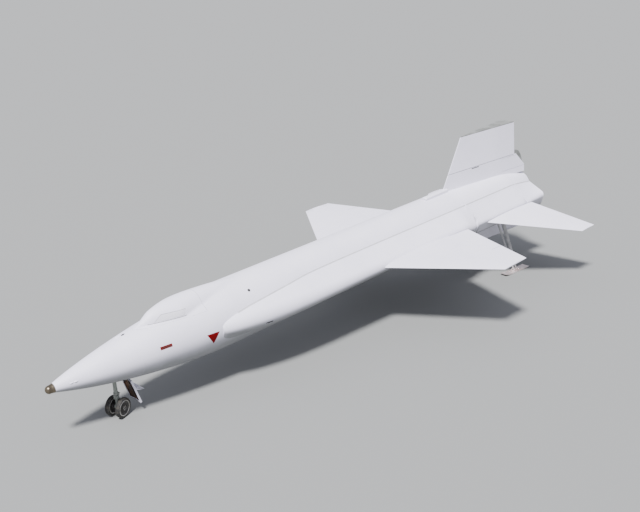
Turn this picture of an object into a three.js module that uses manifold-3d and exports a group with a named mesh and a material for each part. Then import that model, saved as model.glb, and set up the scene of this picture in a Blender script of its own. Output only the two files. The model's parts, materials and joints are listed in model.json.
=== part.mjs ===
// A rocket-powered research aircraft, parked nose down on its twin nose wheels and two tail skids.
import * as THREE from 'three';
import { mergeVertices } from 'three/addons/utils/BufferGeometryUtils.js';
import Module from 'manifold-3d';

const wasm = await Module();
wasm.setup();

// Driving dimensions in millimetres. The airframe is drawn level: X runs aft from the nose tip,
// Y to starboard and Z up from the centreline. It is tipped nose down at the end, onto its gear.
const GAP = 0.3;
const NOSE_DOWN = THREE.MathUtils.degToRad(3.38);
const GROUND_AT_NOSE = -1173;

const BODY = { radius: 711, facets: 40, ogiveStart: -120, ogiveLength: 4320, droop: 38, droopLength: 2600 };
const NOSE_SLIM = { front: 300, rear: 4200, depth: 33, power: 1.25 };
const TAIL = { start: 14300, end: 15750, radius: 548 };
const JOINTS = { ball: 170, nose: 1900, cockpit: 4180, oxidiser: 8300, fuel: 12100 };

const HUMP = {
  start: 2050, split: 3555, end: 4850, spring: 438, foot: 378, wall: 35, hollowFrom: 2200, rearGap: 6,
};
const WINDOW = {
  inner: 50, outer: 500, fit: 0.995, outline: [[2420, 518], [2600, 650], [3130, 638], [3080, 518]],
};
const SILL = 468;
const COCKPIT = { front: 2350, rear: 3500, floor: -330, top: 830, wall: 60 };
const WELL = { front: 1290, rear: 1730, halfWidth: 190, roof: -130 };

const FAIRING = { front: 3700, rootShare: 0.8, heart: 420 };
const WING = { edgeAtCentre: 7602, rootChord: 4545, tipChord: 908, semiSpan: 3410, sweep: 36.75, inner: 950 };
const FLAP = {
  hinge: 11000, inner: 1137, outer: 2480, rootRelief: 100, slot: 12, nose: 54, cove: 61, reach: 2000,
};
const STABILISER = {
  edgeAtCentre: 11685, height: 128, rootChord: 3085, tipChord: 643, semiSpan: 2852, sweep: 49.1,
  droop: 15, side: 1030, clearance: 8, flatFrom: 420, pivot: 13400, spindle: 42, bore: 48,
  spindleInner: 860, spindleOuter: 1230,
};
const FIN = {
  edge: 12144, edgeHeight: 735, sweep: 30, wedge: 5, bluntness: 10, root: 600,
  fixedTop: 1150, rudderBottom: 1164, top: 2131, fixedEnd: 15700, rudderEnd: 15240, bottom: -1180,
  slopeHead: 15330, slopeFoot: 770, edgeHalf: 2,
};
const FIN_CORE = {
  front: 15280, halfWidth: 235,
  crown: [[15695, 900], [15645, 1030], [15540, 1185], [15400, 1255], [15280, 1285]],
};
const FIN_RIDGE = { start: 11350, end: 12400, halfWidth: 75, topHalfWidth: 52, rise: 72, endRise: 90 };
const RUDDER_POST = { x: 13900, radius: 60, bore: 66, bottom: 1000, clearance: 20 };
const BRAKE = { front: 14690, bottom: 745, top: 1125, skin: 45, clearance: 8 };
const ENGINE = { bayFront: 13880, bayRadius: 520, front: 13885, rear: 14960, radius: 380 };
const NOZZLE = {
  throat: 14990, throatRadius: 130, exit: 15800, exitRadius: 462, wall: 12,
  rings: 5, spread: 1.3, flare: 0.85,
};

const SEAT = {
  front: 2930, back: 3280, rear: 3400, halfWidth: 215, bottom: -70, cushion: 40, shoulder: 560,
  headFront: 3270, headRear: 3390, headHalfWidth: 120, headBottom: 550, headTop: 740,
  railFront: 3020, railRear: 3420, railHalfWidth: 150, railTop: -60,
};
const PANEL = { front: 2480, rear: 2560, halfWidth: 215, bottom: 60, top: 400 };
const CONSOLE = { front: 2700, rear: 3250, inner: 265, outer: 400, bottom: -60, top: 120 };
const STICK = {
  x: 2800, footHalf: 30, footHeight: 40, stemFrom: 20, stemRadius: 16, gripRadius: 26,
  stemEnd: [2760, 60], gripStart: [2762, 50], gripEnd: [2750, 170],
};

const NOSE_LEG = { x: 1445, radius: 42, pistonTop: -750, pistonRadius: 31, bottom: -1000 };
const NOSE_FORK = {
  lugRadius: 50, lugHalf: 58, blockLength: 45, blockHalf: 50, blockFrom: -870, blockTo: -770, bore: 24,
};
const NOSE_WHEEL = { radius: 213, spacing: 252, axleRadius: 22, facets: 36, turn: 21 };
const NOSE_DOOR = { x: 1712, z: -512, length: 585, width: 400, thickness: 40, swing: 16 };
const DOOR_SCOOP = { drop: 255, length: 212, width: 290, thickness: 14, swing: 49 };
const SKI = { x: 14200, y: 1090, length: 1190, width: 215, thickness: 28, tip: 330, tipRise: 100 };
const SKI_LUG = { aft: 5, length: 290, width: 90, height: 95 };
const SKID_LEG = {
  strutTop: [13850, 740, -130], strutRadius: 52, braceTop: [13630, 735, -190], braceRadius: 34,
};
const SKID_FOOT = { strutAft: 70, braceAft: -60, height: 80 };

// Columns: distance aft, half-width at the body's skin, height of the ridge.
const HUMP_STATIONS = [
  [2050, 30, 472], [2139, 62, 521], [2300, 130, 622], [2455, 192, 715], [2778, 305, 788],
  [3050, 373, 812], [3315, 360, 820], [3774, 332, 802], [4310, 275, 760], [4850, 150, 690],
];
// Columns: distance aft, half-width, height of the upper crease, depth of the lower crease, radius
// of the rounded outer edge, how far the middle of that edge lies below the centreline.
const FAIRING_STATIONS = [
  [3690, 660, 40, 120, 182, 0], [3800, 745, 140, 210, 182, 0], [4050, 850, 215, 290, 182, 0],
  [4450, 950, 270, 330, 182, 0], [5000, 1045, 310, 350, 182, 0], [5700, 1100, 355, 370, 182, 0],
  [6400, 1118, 400, 400, 182, 0], [8200, 1118, 412, 412, 182, 0], [11800, 1118, 405, 405, 182, 0],
  [12500, 1087, 405, 405, 182, 205], [14000, 1085, 405, 405, 182, 212], [14600, 1080, 400, 405, 182, 220],
  [15200, 1072, 335, 415, 205, 230], [15750, 1050, 240, 440, 250, 190],
];
// Columns: share of the chord, half-thickness as a share of the chord.
const AEROFOIL = [
  [0, 0.0006], [0.008, 0.0045], [0.05, 0.0115], [0.2, 0.021],
  [0.4, 0.025], [0.6, 0.0235], [0.8, 0.0145], [1, 0.005],
];
// Columns: radius, distance aft of the tip.
const BALL_PROFILE = [[0, 0], [36, 10], [63, 32], [79, 64], [84, 100], [90, 140], [97, JOINTS.ball - GAP]];
// Columns: radius, half-width at that radius.
const TYRE_PROFILE = [[165, 38], [182, 50], [203, 43], [NOSE_WHEEL.radius, 20]];
const RIM_PROFILE = [[0, 14], [52, 14], [60, 42], [66, 42], [74, 22], [138, 22], [152, 36], [165 - GAP, 36]];

const SIDES = [['left', -1], ['right', 1]];
const tan = (degrees) => Math.tan(THREE.MathUtils.degToRad(degrees));
const groundAt = (x) => GROUND_AT_NOSE - x * Math.tan(NOSE_DOWN);

// Colours and surfaces seen on the aircraft.
const FINISHES = {
  white: { color: 0xe4e4e6, roughness: 0.5, metalness: 0 },
  bronze: { color: 0x4a3f30, roughness: 0.35, metalness: 0.9 },
  greyPaint: { color: 0x8d928c, roughness: 0.5, metalness: 0.1 },
  brownPaint: { color: 0x5a3a2c, roughness: 0.6, metalness: 0 },
  bareSteel: { color: 0x9b938e, roughness: 0.4, metalness: 0.9 },
  rubber: { color: 0x1b1b1c, roughness: 0.85, metalness: 0 },
  nickel: { color: 0x6d665f, roughness: 0.45, metalness: 0.9 },
  cloth: { color: 0x4c5340, roughness: 0.9, metalness: 0 },
  panelBlack: { color: 0x202224, roughness: 0.6, metalness: 0 },
};

const airframe = new THREE.Group();

// Turns a closed geometry into a solid, with its faces turned outward.
function solid(geometry) {
  const bare = geometry.clone();
  bare.deleteAttribute('normal');
  bare.deleteAttribute('uv');
  const merged = mergeVertices(bare, 1e-3);
  const vertProperties = new Float32Array(merged.attributes.position.array);
  const triVerts = new Uint32Array(merged.index.array);
  if (signedVolume(vertProperties, triVerts) < 0) triVerts.reverse();
  return new wasm.Manifold(new wasm.Mesh({ numProp: 3, vertProperties, triVerts }));
}

function signedVolume(points, triangles) {
  const corner = (index) => new THREE.Vector3().fromArray(points, index * 3);
  let volume = 0;
  for (let i = 0; i < triangles.length; i += 3) {
    const [a, b, c] = [corner(triangles[i]), corner(triangles[i + 1]), corner(triangles[i + 2])];
    volume += a.dot(b.cross(c)) / 6;
  }
  return volume;
}

// Adds a solid to the aircraft as a named mesh.
function add(name, piece, finish, parent = airframe) {
  const { vertProperties, triVerts } = piece.getMesh();
  const geometry = new THREE.BufferGeometry();
  geometry.setAttribute('position', new THREE.BufferAttribute(vertProperties, 3));
  geometry.setIndex(new THREE.BufferAttribute(triVerts, 1));
  geometry.computeVertexNormals();
  const mesh = new THREE.Mesh(geometry, new THREE.MeshStandardMaterial(FINISHES[finish]));
  mesh.name = name;
  parent.add(mesh);
}

// Skins a row of rings that have equal numbers of points, and closes both ends with a fan.
function loft(rings) {
  const count = rings[0].length;
  const points = rings.flat();
  const index = [];
  for (let i = 0; i + 1 < rings.length; i += 1) {
    for (let j = 0; j < count; j += 1) {
      const k = (j + 1) % count;
      const [a, b] = [i * count, (i + 1) * count];
      index.push(a + j, a + k, b + j, b + j, a + k, b + k);
    }
  }
  for (const [ring, start, turn] of [[rings[0], 0, 0], [rings.at(-1), (rings.length - 1) * count, 1]]) {
    const centre = points.length;
    points.push(ring.reduce((sum, point) => sum.add(point), new THREE.Vector3()).divideScalar(count));
    for (let j = 0; j < count; j += 1) {
      const k = (j + 1) % count;
      index.push(centre, start + (turn ? j : k), start + (turn ? k : j));
    }
  }
  return solid(new THREE.BufferGeometry().setFromPoints(points).setIndex(index));
}

function box(xFrom, xTo, yFrom, yTo, zFrom, zTo) {
  const geometry = new THREE.BoxGeometry(xTo - xFrom, yTo - yFrom, zTo - zFrom);
  return solid(geometry.translate((xFrom + xTo) / 2, (yFrom + yTo) / 2, (zFrom + zTo) / 2));
}

// A round bar between two points.
function bar(from, to, radius, facets = 24) {
  const [a, b] = [new THREE.Vector3(...from), new THREE.Vector3(...to)];
  const geometry = new THREE.CylinderGeometry(radius, radius, a.distanceTo(b), facets);
  const lengthwise = b.clone().sub(a).normalize();
  const turn = new THREE.Quaternion().setFromUnitVectors(new THREE.Vector3(0, 1, 0), lengthwise);
  return solid(geometry.applyQuaternion(turn).translate(...a.add(b).divideScalar(2).toArray()));
}

// A closed profile of radius and distance, turned about an axis along X.
function turned(profile, facets) {
  const points = profile.map(([radius, along]) => new THREE.Vector2(radius, along));
  return solid(new THREE.LatheGeometry(points, facets).rotateZ(-Math.PI / 2));
}

// Cuts a flat outline through the aircraft from one side to the other.
function sidePrism(outline, from, to) {
  const shape = new THREE.Shape(outline.map(([x, z]) => new THREE.Vector2(x, z)));
  const prism = new THREE.ExtrudeGeometry(shape, { depth: to - from, bevelEnabled: false });
  return solid(prism.rotateX(Math.PI / 2).translate(0, to, 0));
}

const mirrored = (piece, side) => (side > 0 ? piece : piece.mirror([0, 1, 0]));

// Reads a table's row at any distance aft, on straight lines between its stations.
function readStations(stations, x) {
  const next = Math.min(stations.length - 1, Math.max(1, stations.findIndex((row) => row[0] >= x)));
  const [a, b] = [stations[next - 1], stations[next]];
  const share = (x - a[0]) / (b[0] - a[0]);
  return a.map((value, column) => THREE.MathUtils.lerp(value, b[column], share));
}

// The round body: a tangent ogive with a drooped nose, a straight barrel and a boat tail.
// The nose's upper line lies below a plain ogive, while its lower line follows it.
function noseSlim(x) {
  const share = (x - NOSE_SLIM.front) / (NOSE_SLIM.rear - NOSE_SLIM.front);
  return share > 0 && share < 1 ? NOSE_SLIM.depth * Math.sin(Math.PI * share) ** NOSE_SLIM.power : 0;
}

function bodyRadius(x) {
  const { radius, ogiveStart, ogiveLength } = BODY;
  const ahead = ogiveStart + ogiveLength - x;
  if (ahead > 0) {
    const arc = (radius ** 2 + ogiveLength ** 2) / (2 * radius);
    return Math.sqrt(arc ** 2 - ahead ** 2) + radius - arc - noseSlim(x);
  }
  const along = Math.max(0, (x - TAIL.start) / (TAIL.end - TAIL.start));
  return radius - (radius - TAIL.radius) * along ** 2;
}

function bodyCentre(x) {
  const share = Math.min(1, x / BODY.droopLength);
  return -BODY.droop * (1 + Math.cos(Math.PI * share)) / 2 - noseSlim(x);
}

const BODY_STATIONS = [
  170, 420, 760, 1120, 1500, 1900, 2350, 2800, 3250, 3700, 4200, TAIL.start, 14800, 15300, TAIL.end,
].map((x) => [x, bodyRadius(x), bodyCentre(x)]);

function bodySection(x, growth) {
  const [, skin, centre] = readStations(BODY_STATIONS, x);
  const radius = skin + growth;
  return Array.from({ length: BODY.facets }, (_, i) => {
    const angle = (i + 0.5) * 2 * Math.PI / BODY.facets;
    return new THREE.Vector3(x, radius * Math.cos(angle), centre + radius * Math.sin(angle));
  });
}

function body(from, to, growth = 0) {
  const inside = BODY_STATIONS.map((row) => row[0]).filter((x) => x > from && x < to);
  return loft([from, ...inside, to].map((x) => bodySection(x, growth)));
}

const clearOfBody = (piece) => piece.subtract(body(1000, TAIL.end, GAP));

// The hump over the cockpit: a half ellipse standing on the body.
function humpSection(x, inset) {
  const [, halfWidth, top] = readStations(HUMP_STATIONS, x);
  const [least, steps] = [10, 14];
  const [reach, rise] = [Math.max(least, halfWidth - inset), Math.max(least, top - inset - HUMP.spring)];
  const arch = Array.from({ length: steps + 1 }, (_, i) => {
    const angle = Math.PI * i / steps;
    return new THREE.Vector3(x, reach * Math.cos(angle), HUMP.spring + rise * Math.sin(angle));
  });
  return [new THREE.Vector3(x, reach, HUMP.foot), ...arch, new THREE.Vector3(x, -reach, HUMP.foot)];
}

function hump(from, to, inset = 0) {
  const inside = HUMP_STATIONS.map((row) => row[0]).filter((x) => x > from && x < to);
  return loft([from, ...inside, to].map((x) => humpSection(x, inset)));
}

// The cockpit lies open to the sky under the canopy, inside a wall of even thickness.
function cockpitHollow() {
  const { front, rear, floor, top, wall } = COCKPIT;
  return body(front, rear, -wall).intersect(box(front, rear, -BODY.radius, BODY.radius, floor, top));
}

function makeBodySections() {
  const { ball, nose, cockpit, oxidiser, fuel } = JOINTS;
  const tip = turned([...BALL_PROFILE, [0, ball - GAP]], 28);
  add('nose_ball', tip.translate([0, 0, bodyCentre(0)]), 'bronze');

  const well = box(WELL.front, WELL.rear, -WELL.halfWidth, WELL.halfWidth, -BODY.radius, WELL.roof);
  add('nose_section', body(ball, nose - GAP).subtract(well), 'white');

  const aboveSill = box(nose + GAP, HUMP.split, -BODY.radius, BODY.radius, SILL, BODY.radius * 2);
  add('cockpit_section', body(nose, cockpit - GAP).subtract(cockpitHollow()).subtract(aboveSill), 'white');

  add('oxidiser_tank_section', body(cockpit, oxidiser - GAP), 'white');
  add('fuel_tank_section', body(oxidiser, fuel - GAP), 'white');
  const bay = bar([ENGINE.bayFront, 0, 0], [TAIL.end + 100, 0, 0], ENGINE.bayRadius, BODY.facets);
  add('engine_section', body(fuel, TAIL.end).subtract(bay), 'white');
}

// The canopy is a shell open below and behind, so that it clears the seat as it lifts.
function makeCanopy() {
  const { start, split, end, wall, hollowFrom, rearGap } = HUMP;
  const cap = body(JOINTS.nose + GAP, split).add(hump(start, split));
  const above = box(0, split - rearGap, -BODY.radius, BODY.radius, SILL + GAP, BODY.radius * 2);
  const shell = cap.intersect(above).subtract(hump(hollowFrom, split, wall));
  const openings = windowPrism(1).add(windowPrism(1).mirror([0, 1, 0]));
  add('canopy', shell.subtract(openings), 'white');
  for (const [sideName, side] of SIDES) {
    add(`window_cover_${sideName}`, mirrored(shell.intersect(windowPrism(WINDOW.fit)), side), 'white');
  }
  add('canopy_fairing', clearOfBody(hump(split, end)), 'white');
}

// A window's outline cut through the canopy's wall from the side, at full size or drawn in to fit.
function windowPrism(scale) {
  const { inner, outer, outline } = WINDOW;
  const mean = (axis) => outline.reduce((sum, corner) => sum + corner[axis], 0) / outline.length;
  const middle = [mean(0), mean(1)];
  return sidePrism(outline.map((corner) => corner.map((value, axis) => (
    middle[axis] + (value - middle[axis]) * scale))), inner, outer);
}

// The long fairings beside the tanks, and the flat on each for the all-moving stabiliser.
function fairingSection(x, growth) {
  const [, halfWidth, crease, depth, edgeRadius, sink] = readStations(FAIRING_STATIONS, x);
  const radius = edgeRadius + growth;
  const [steps, reach] = [8, 64];
  const edge = Array.from({ length: steps + 1 }, (_, i) => {
    const angle = THREE.MathUtils.degToRad(reach - i * 2 * reach / steps);
    const centre = halfWidth - edgeRadius;
    return new THREE.Vector3(x, centre + radius * Math.cos(angle), radius * Math.sin(angle) - sink);
  });
  const { rootShare, heart } = FAIRING;
  const root = rootShare * bodyRadius(x);
  const taper = 0.6;
  const upper = [[heart, crease * taper], [root, crease + growth]];
  const lower = [[root, -depth - growth], [heart, -depth * taper]];
  const corner = ([y, z]) => new THREE.Vector3(x, y, z);
  return [...upper.map(corner), ...edge, ...lower.map(corner)];
}

function fairing(from, to, growth = 0) {
  const inside = FAIRING_STATIONS.map((row) => row[0]).filter((x) => x > from && x < to);
  return loft([from, ...inside, to].map((x) => fairingSection(x, growth)));
}

function stabiliserFlat() {
  const { side, flatFrom } = STABILISER;
  const [start, end, outer, height] = [JOINTS.fuel, TAIL.end + 100, 1300, 800];
  const plan = new THREE.Shape([
    [start - 100, outer], [start, 1120], [start + flatFrom, side], [end, side], [end, outer],
  ].map(([x, y]) => new THREE.Vector2(x, y)));
  const cutter = new THREE.ExtrudeGeometry(plan, { depth: 2 * height, bevelEnabled: false });
  return solid(inStabiliserFrame(cutter.translate(0, 0, -height)));
}

function makeFairings() {
  const { oxidiser, fuel } = JOINTS;
  const spans = [['front', FAIRING.front, oxidiser], ['mid', oxidiser, fuel], ['rear', fuel, TAIL.end]];
  const { pivot, bore, spindleOuter, droop, height } = STABILISER;
  const boring = bar([pivot, 0, 0], [pivot, spindleOuter, 0], bore)
    .rotate([-droop, 0, 0]).translate([0, 0, height]);
  for (const [sideName, side] of SIDES) {
    for (const [place, from, to] of spans) {
      let piece = clearOfBody(fairing(from + GAP, to));
      if (place === 'rear') piece = piece.subtract(stabiliserFlat()).subtract(boring);
      add(`side_fairing_${place}_${sideName}`, mirrored(piece, side), 'white');
    }
  }
}

// An aerofoil section's outline, for a leading edge, a chord and a place along the span.
function aerofoilSection(edge, chord, span) {
  const upper = AEROFOIL.map(([along, half]) => new THREE.Vector3(edge + along * chord, span, half * chord));
  const lower = AEROFOIL.map(([along, half]) => new THREE.Vector3(edge + along * chord, span, -half * chord));
  return [...upper, ...lower.reverse()];
}

function panel({ edgeAtCentre, rootChord, tipChord, semiSpan, sweep }, inner) {
  return loft([inner, semiSpan].map((span) => {
    const chord = THREE.MathUtils.lerp(rootChord, tipChord, span / semiSpan);
    return aerofoilSection(edgeAtCentre + span * tan(sweep), chord, span);
  }));
}

function makeWings() {
  const { hinge, inner, outer, rootRelief, slot, nose, cove, reach } = FLAP;
  const whole = panel(WING, WING.inner).subtract(fairing(FAIRING.front, TAIL.end, GAP));
  const behindHinge = (from, to, radius) => box(hinge, hinge + reach, from, to, -radius * 2, radius * 2)
    .add(bar([hinge, from, 0], [hinge, to, 0], radius, 32));
  const wing = whole.subtract(behindHinge(inner - rootRelief, outer + slot, cove));
  const flap = whole.intersect(behindHinge(inner, outer, nose));
  for (const [sideName, side] of SIDES) {
    add(`wing_${sideName}`, mirrored(wing, side), 'white');
    add(`flap_${sideName}`, mirrored(flap, side), 'white');
  }
}

// Moves what is drawn flat into the plane of the drooping starboard stabiliser.
function inStabiliserFrame(geometry) {
  return geometry.rotateX(THREE.MathUtils.degToRad(-STABILISER.droop)).translate(0, 0, STABILISER.height);
}

function makeStabilisers() {
  const { side, clearance, pivot, spindle, spindleInner, spindleOuter, droop, height } = STABILISER;
  const flat = panel(STABILISER, side + clearance)
    .add(bar([pivot, spindleInner, 0], [pivot, spindleOuter, 0], spindle));
  const piece = flat.rotate([-droop, 0, 0]).translate([0, 0, height]);
  for (const [sideName, direction] of SIDES) {
    add(`stabiliser_${sideName}`, mirrored(piece, direction), 'white');
  }
}

// The wedge-shaped fin, cut anywhere in height, and made thinner by an inset on each side.
function finWedge(from, to, end, inset = 0) {
  const section = (z) => {
    const edge = FIN.edge + (Math.abs(z) - FIN.edgeHeight) * tan(FIN.sweep);
    const thick = (x) => Math.max(FIN.edgeHalf, FIN.bluntness + (x - edge) * tan(FIN.wedge) - inset);
    const start = edge + inset / tan(FIN.wedge);
    return [[start, thick(start)], [end, thick(end)], [end, -thick(end)], [start, -thick(start)]]
      .map(([x, y]) => new THREE.Vector3(x, y, z));
  };
  return loft([section(from), section(to)]);
}

// The fixed fins above and below, each with a speed brake let into both sides of its rear.
function makeFins() {
  const { root, fixedTop, rudderBottom, top, fixedEnd, rudderEnd, bottom, slopeHead, slopeFoot } = FIN;
  const { x, radius, bore, bottom: postBottom, clearance: postClearance } = RUDDER_POST;
  const post = (from, to, size) => bar([x, 0, from], [x, 0, to], size);
  const run = 2 * (fixedEnd - slopeHead);
  const aboveSlope = sidePrism([
    [slopeHead, fixedTop], [slopeHead + run, 2 * slopeFoot - fixedTop],
    [slopeHead + run, top], [slopeHead, top],
  ], -BODY.radius, BODY.radius);
  const upper = finWedge(root, fixedTop, fixedEnd).subtract(aboveSlope)
    .subtract(post(postBottom - postClearance, top, bore));
  const lower = finWedge(bottom, -root, fixedEnd);

  const { front, skin, clearance, bottom: low, top: high } = BRAKE;
  const past = fixedEnd + 100;
  const zoneAbove = (margin) => box(front - margin, past, 0, BODY.radius, low - margin, high + margin);
  const zoneBelow = (margin) => zoneAbove(margin).mirror([0, 0, 1]);
  const heartAbove = (inset) => finWedge(root, fixedTop, past, inset);
  const heartBelow = (inset) => finWedge(bottom, -root, past, inset);
  for (const [name, place, fin, zone, heart] of [
    ['fin_fixed', 'upper', upper, zoneAbove, heartAbove],
    ['ventral_fin', 'lower', lower, zoneBelow, heartBelow],
  ]) {
    const recess = zone(clearance).subtract(heart(skin + clearance));
    add(name, clearOfBody(fin.subtract(recess).subtract(recess.mirror([0, 1, 0]))), 'white');
    const brake = fin.intersect(zone(0)).subtract(heart(skin));
    for (const [sideName, side] of SIDES) {
      add(`speed_brake_${place}_${sideName}`, mirrored(brake, side), 'white');
    }
  }
  const stock = post(postBottom, rudderBottom + RUDDER_POST.radius, radius);
  add('rudder', finWedge(rudderBottom, top, rudderEnd).add(stock), 'white');
}

// The bare block on the fin's rear slope, behind the rudder.
function makeFinCore() {
  const { fixedTop, fixedEnd, slopeHead, slopeFoot } = FIN;
  const { front, halfWidth, crown } = FIN_CORE;
  const seat = [[front, fixedTop], [slopeHead, fixedTop], [fixedEnd, slopeFoot]];
  const outline = [...seat.map(([x, z]) => [x + GAP, z + GAP]), ...crown];
  add('fin_tail_core', sidePrism(outline, -halfWidth, halfWidth), 'greyPaint');
}

// The low ridge on the tank that runs back into the foot of the fin.
function makeFinRidge() {
  const { start, end, halfWidth, topHalfWidth, rise, endRise } = FIN_RIDGE;
  const ridge = loft([[start, rise], [end, endRise]].map(([x, height]) => {
    const ridgeTop = BODY.radius + height;
    return [
      [halfWidth, FIN.root], [topHalfWidth, ridgeTop], [-topHalfWidth, ridgeTop], [-halfWidth, FIN.root],
    ].map(([y, z]) => new THREE.Vector3(x, y, z));
  }));
  const fin = finWedge(FIN.root - BODY.droop, FIN.fixedTop, FIN.fixedEnd, -GAP);
  add('fin_ridge', clearOfBody(ridge).subtract(fin), 'white');
}

function makeEngine() {
  const { front, rear, radius } = ENGINE;
  add('engine_block', bar([front, 0, 0], [rear, 0, 0], radius), 'nickel');
  const { throat, throatRadius, exit, exitRadius, wall, rings, spread, flare } = NOZZLE;
  const inside = Array.from({ length: rings + 1 }, (_, i) => {
    const share = (i / rings) ** spread;
    const bell = Math.sin(share * Math.PI / 2) ** flare;
    return [THREE.MathUtils.lerp(throatRadius, exitRadius, bell), THREE.MathUtils.lerp(throat, exit, share)];
  });
  const outside = inside.map(([r, x]) => [r + wall, x]).reverse();
  add('nozzle', turned([...inside, ...outside, inside[0]], BODY.facets), 'nickel');
}

// The pilot's place: ejection seat, instrument panel, side consoles and centre stick.
function makeCockpit() {
  const floor = COCKPIT.floor + GAP;
  const across = (xFrom, xTo, half, zFrom, zTo) => box(xFrom, xTo, -half, half, zFrom, zTo);
  const seat = across(SEAT.front, SEAT.back + GAP, SEAT.halfWidth, SEAT.bottom, SEAT.cushion)
    .add(across(SEAT.back, SEAT.rear, SEAT.halfWidth, SEAT.bottom, SEAT.shoulder))
    .add(across(SEAT.headFront, SEAT.headRear, SEAT.headHalfWidth, SEAT.headBottom, SEAT.headTop))
    .add(across(SEAT.railFront, SEAT.railRear, SEAT.railHalfWidth, floor, SEAT.railTop));
  add('seat', seat, 'cloth');
  const panelBox = across(PANEL.front, PANEL.rear, PANEL.halfWidth, PANEL.bottom, PANEL.top);
  add('instrument_panel', panelBox, 'panelBlack');
  const { front, rear, inner, outer, bottom, top } = CONSOLE;
  for (const [sideName, side] of SIDES) {
    const console = box(front, rear, inner, outer, bottom, top);
    add(`side_console_${sideName}`, mirrored(console, side), 'panelBlack');
  }
  const { x, footHalf, footHeight, stemFrom, stemRadius, gripRadius, stemEnd, gripStart, gripEnd } = STICK;
  const inMiddle = ([along, up]) => [along, 0, up];
  const stick = across(x - footHalf, x + footHalf, footHalf, floor, floor + footHeight)
    .add(bar([x, 0, floor + stemFrom], inMiddle(stemEnd), stemRadius))
    .add(bar(inMiddle(gripStart), inMiddle(gripEnd), gripRadius));
  add('control_stick', stick, 'panelBlack');
}

// The nose wheels have castered to port, and stand square on the ground at that turn.
function makeNoseGear() {
  const { x, radius, pistonTop, pistonRadius, bottom } = NOSE_LEG;
  const axle = groundAt(x) + NOSE_WHEEL.radius / Math.cos(NOSE_DOWN);
  add('nose_leg', bar([x, 0, pistonTop + GAP], [x, 0, WELL.roof - GAP], radius), 'greyPaint');

  const { spacing, axleRadius, facets, turn } = NOSE_WHEEL;
  const { lugRadius, lugHalf, blockLength, blockHalf, blockFrom, blockTo, bore } = NOSE_FORK;
  const acrossAxle = (half, size) => bar([0, -half, 0], [0, half, 0], size)
    .rotate([0, 0, turn]).rotate([0, THREE.MathUtils.radToDeg(NOSE_DOWN), 0]).translate([x, 0, axle]);
  const block = box(-blockLength, blockLength, -blockHalf, blockHalf, blockFrom, blockTo);
  const piston = bar([x, 0, pistonTop], [x, 0, bottom], pistonRadius)
    .add(block.rotate([0, 0, turn]).translate([x, 0, 0]));
  const lug = acrossAxle(lugHalf, lugRadius).subtract(acrossAxle(lugHalf + 20, bore));
  add('nose_fork', piston.subtract(acrossAxle(lugHalf, lugRadius - 1)).add(lug), 'greyPaint');

  const wheels = new THREE.Group();
  wheels.position.set(x, 0, axle);
  wheels.rotation.set(0, NOSE_DOWN, THREE.MathUtils.degToRad(turn), 'YXZ');
  airframe.add(wheels);
  const bothFaces = (rows) => [...rows.map(([r, out]) => [r, -out]), ...rows.toReversed()];
  const wheel = (profile, place) => turned(profile, facets).rotate([0, 0, 90]).translate([0, place, 0]);
  const tyre = bothFaces(TYRE_PROFILE);
  let rims = bar([0, -spacing / 2, 0], [0, spacing / 2, 0], axleRadius);
  for (const [sideName, side] of SIDES) {
    const place = side * spacing / 2;
    add(`nose_tyre_${sideName}`, wheel([...tyre, tyre[0]], place), 'rubber', wheels);
    rims = rims.add(wheel(bothFaces(RIM_PROFILE), place));
  }
  add('nose_wheel_rims', rims, 'bareSteel', wheels);
}

// The door hangs behind the leg, and a scoop plate stands out from its rear face.
function makeNoseDoor() {
  const { x, z, length, width, thickness, swing } = NOSE_DOOR;
  const hang = (parent, along, down, degrees) => {
    const group = new THREE.Group();
    group.position.set(along, 0, down);
    group.rotation.y = THREE.MathUtils.degToRad(-degrees);
    parent.add(group);
    return group;
  };
  const door = hang(airframe, x, z, swing);
  add('nose_gear_door', box(0, thickness, -width / 2, width / 2, -length, 0), 'brownPaint', door);
  const scoop = hang(door, thickness + GAP, -DOOR_SCOOP.drop, DOOR_SCOOP.swing);
  const half = DOOR_SCOOP.width / 2;
  add('nose_door_scoop', box(0, DOOR_SCOOP.thickness, -half, half, -DOOR_SCOOP.length, 0), 'white', scoop);
}

// Each skid lies flat on the ground under a main strut and a drag brace from the side fairing.
function makeSkids() {
  const { x, y, length, width, thickness, tip, tipRise } = SKI;
  const ski = sidePrism([
    [-length / 2, tipRise], [-length / 2 + tip, 0], [length / 2, 0], [length / 2, thickness],
    [-length / 2 + tip, thickness], [-length / 2, tipRise + thickness * 0.7],
  ], -width / 2, width / 2);
  const lug = (growth) => box(
    SKI_LUG.aft - SKI_LUG.length / 2 - growth, SKI_LUG.aft + SKI_LUG.length / 2 + growth,
    -SKI_LUG.width / 2 - growth, SKI_LUG.width / 2 + growth, thickness - 1, SKI_LUG.height + growth,
  );
  const tilt = THREE.MathUtils.radToDeg(NOSE_DOWN);
  const level = (piece) => piece.rotate([0, tilt, 0]).translate([x, y, groundAt(x)]);
  const foot = (aft) => [x + aft, y, groundAt(x + aft) + SKID_FOOT.height];
  const shell = fairing(FAIRING.front, TAIL.end, GAP);
  const trim = (piece) => piece.subtract(shell).subtract(level(lug(GAP)));
  const { strutTop, strutRadius, braceTop, braceRadius } = SKID_LEG;
  const strut = trim(bar(strutTop, foot(SKID_FOOT.strutAft), strutRadius, 20));
  const brace = trim(bar(braceTop, foot(SKID_FOOT.braceAft), braceRadius, 20));
  for (const [sideName, side] of SIDES) {
    add(`skid_${sideName}`, mirrored(level(ski.add(lug(0))), side), 'bareSteel');
    add(`skid_strut_${sideName}`, mirrored(strut, side), 'greyPaint');
    add(`skid_brace_${sideName}`, mirrored(brace, side), 'greyPaint');
  }
}

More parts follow.
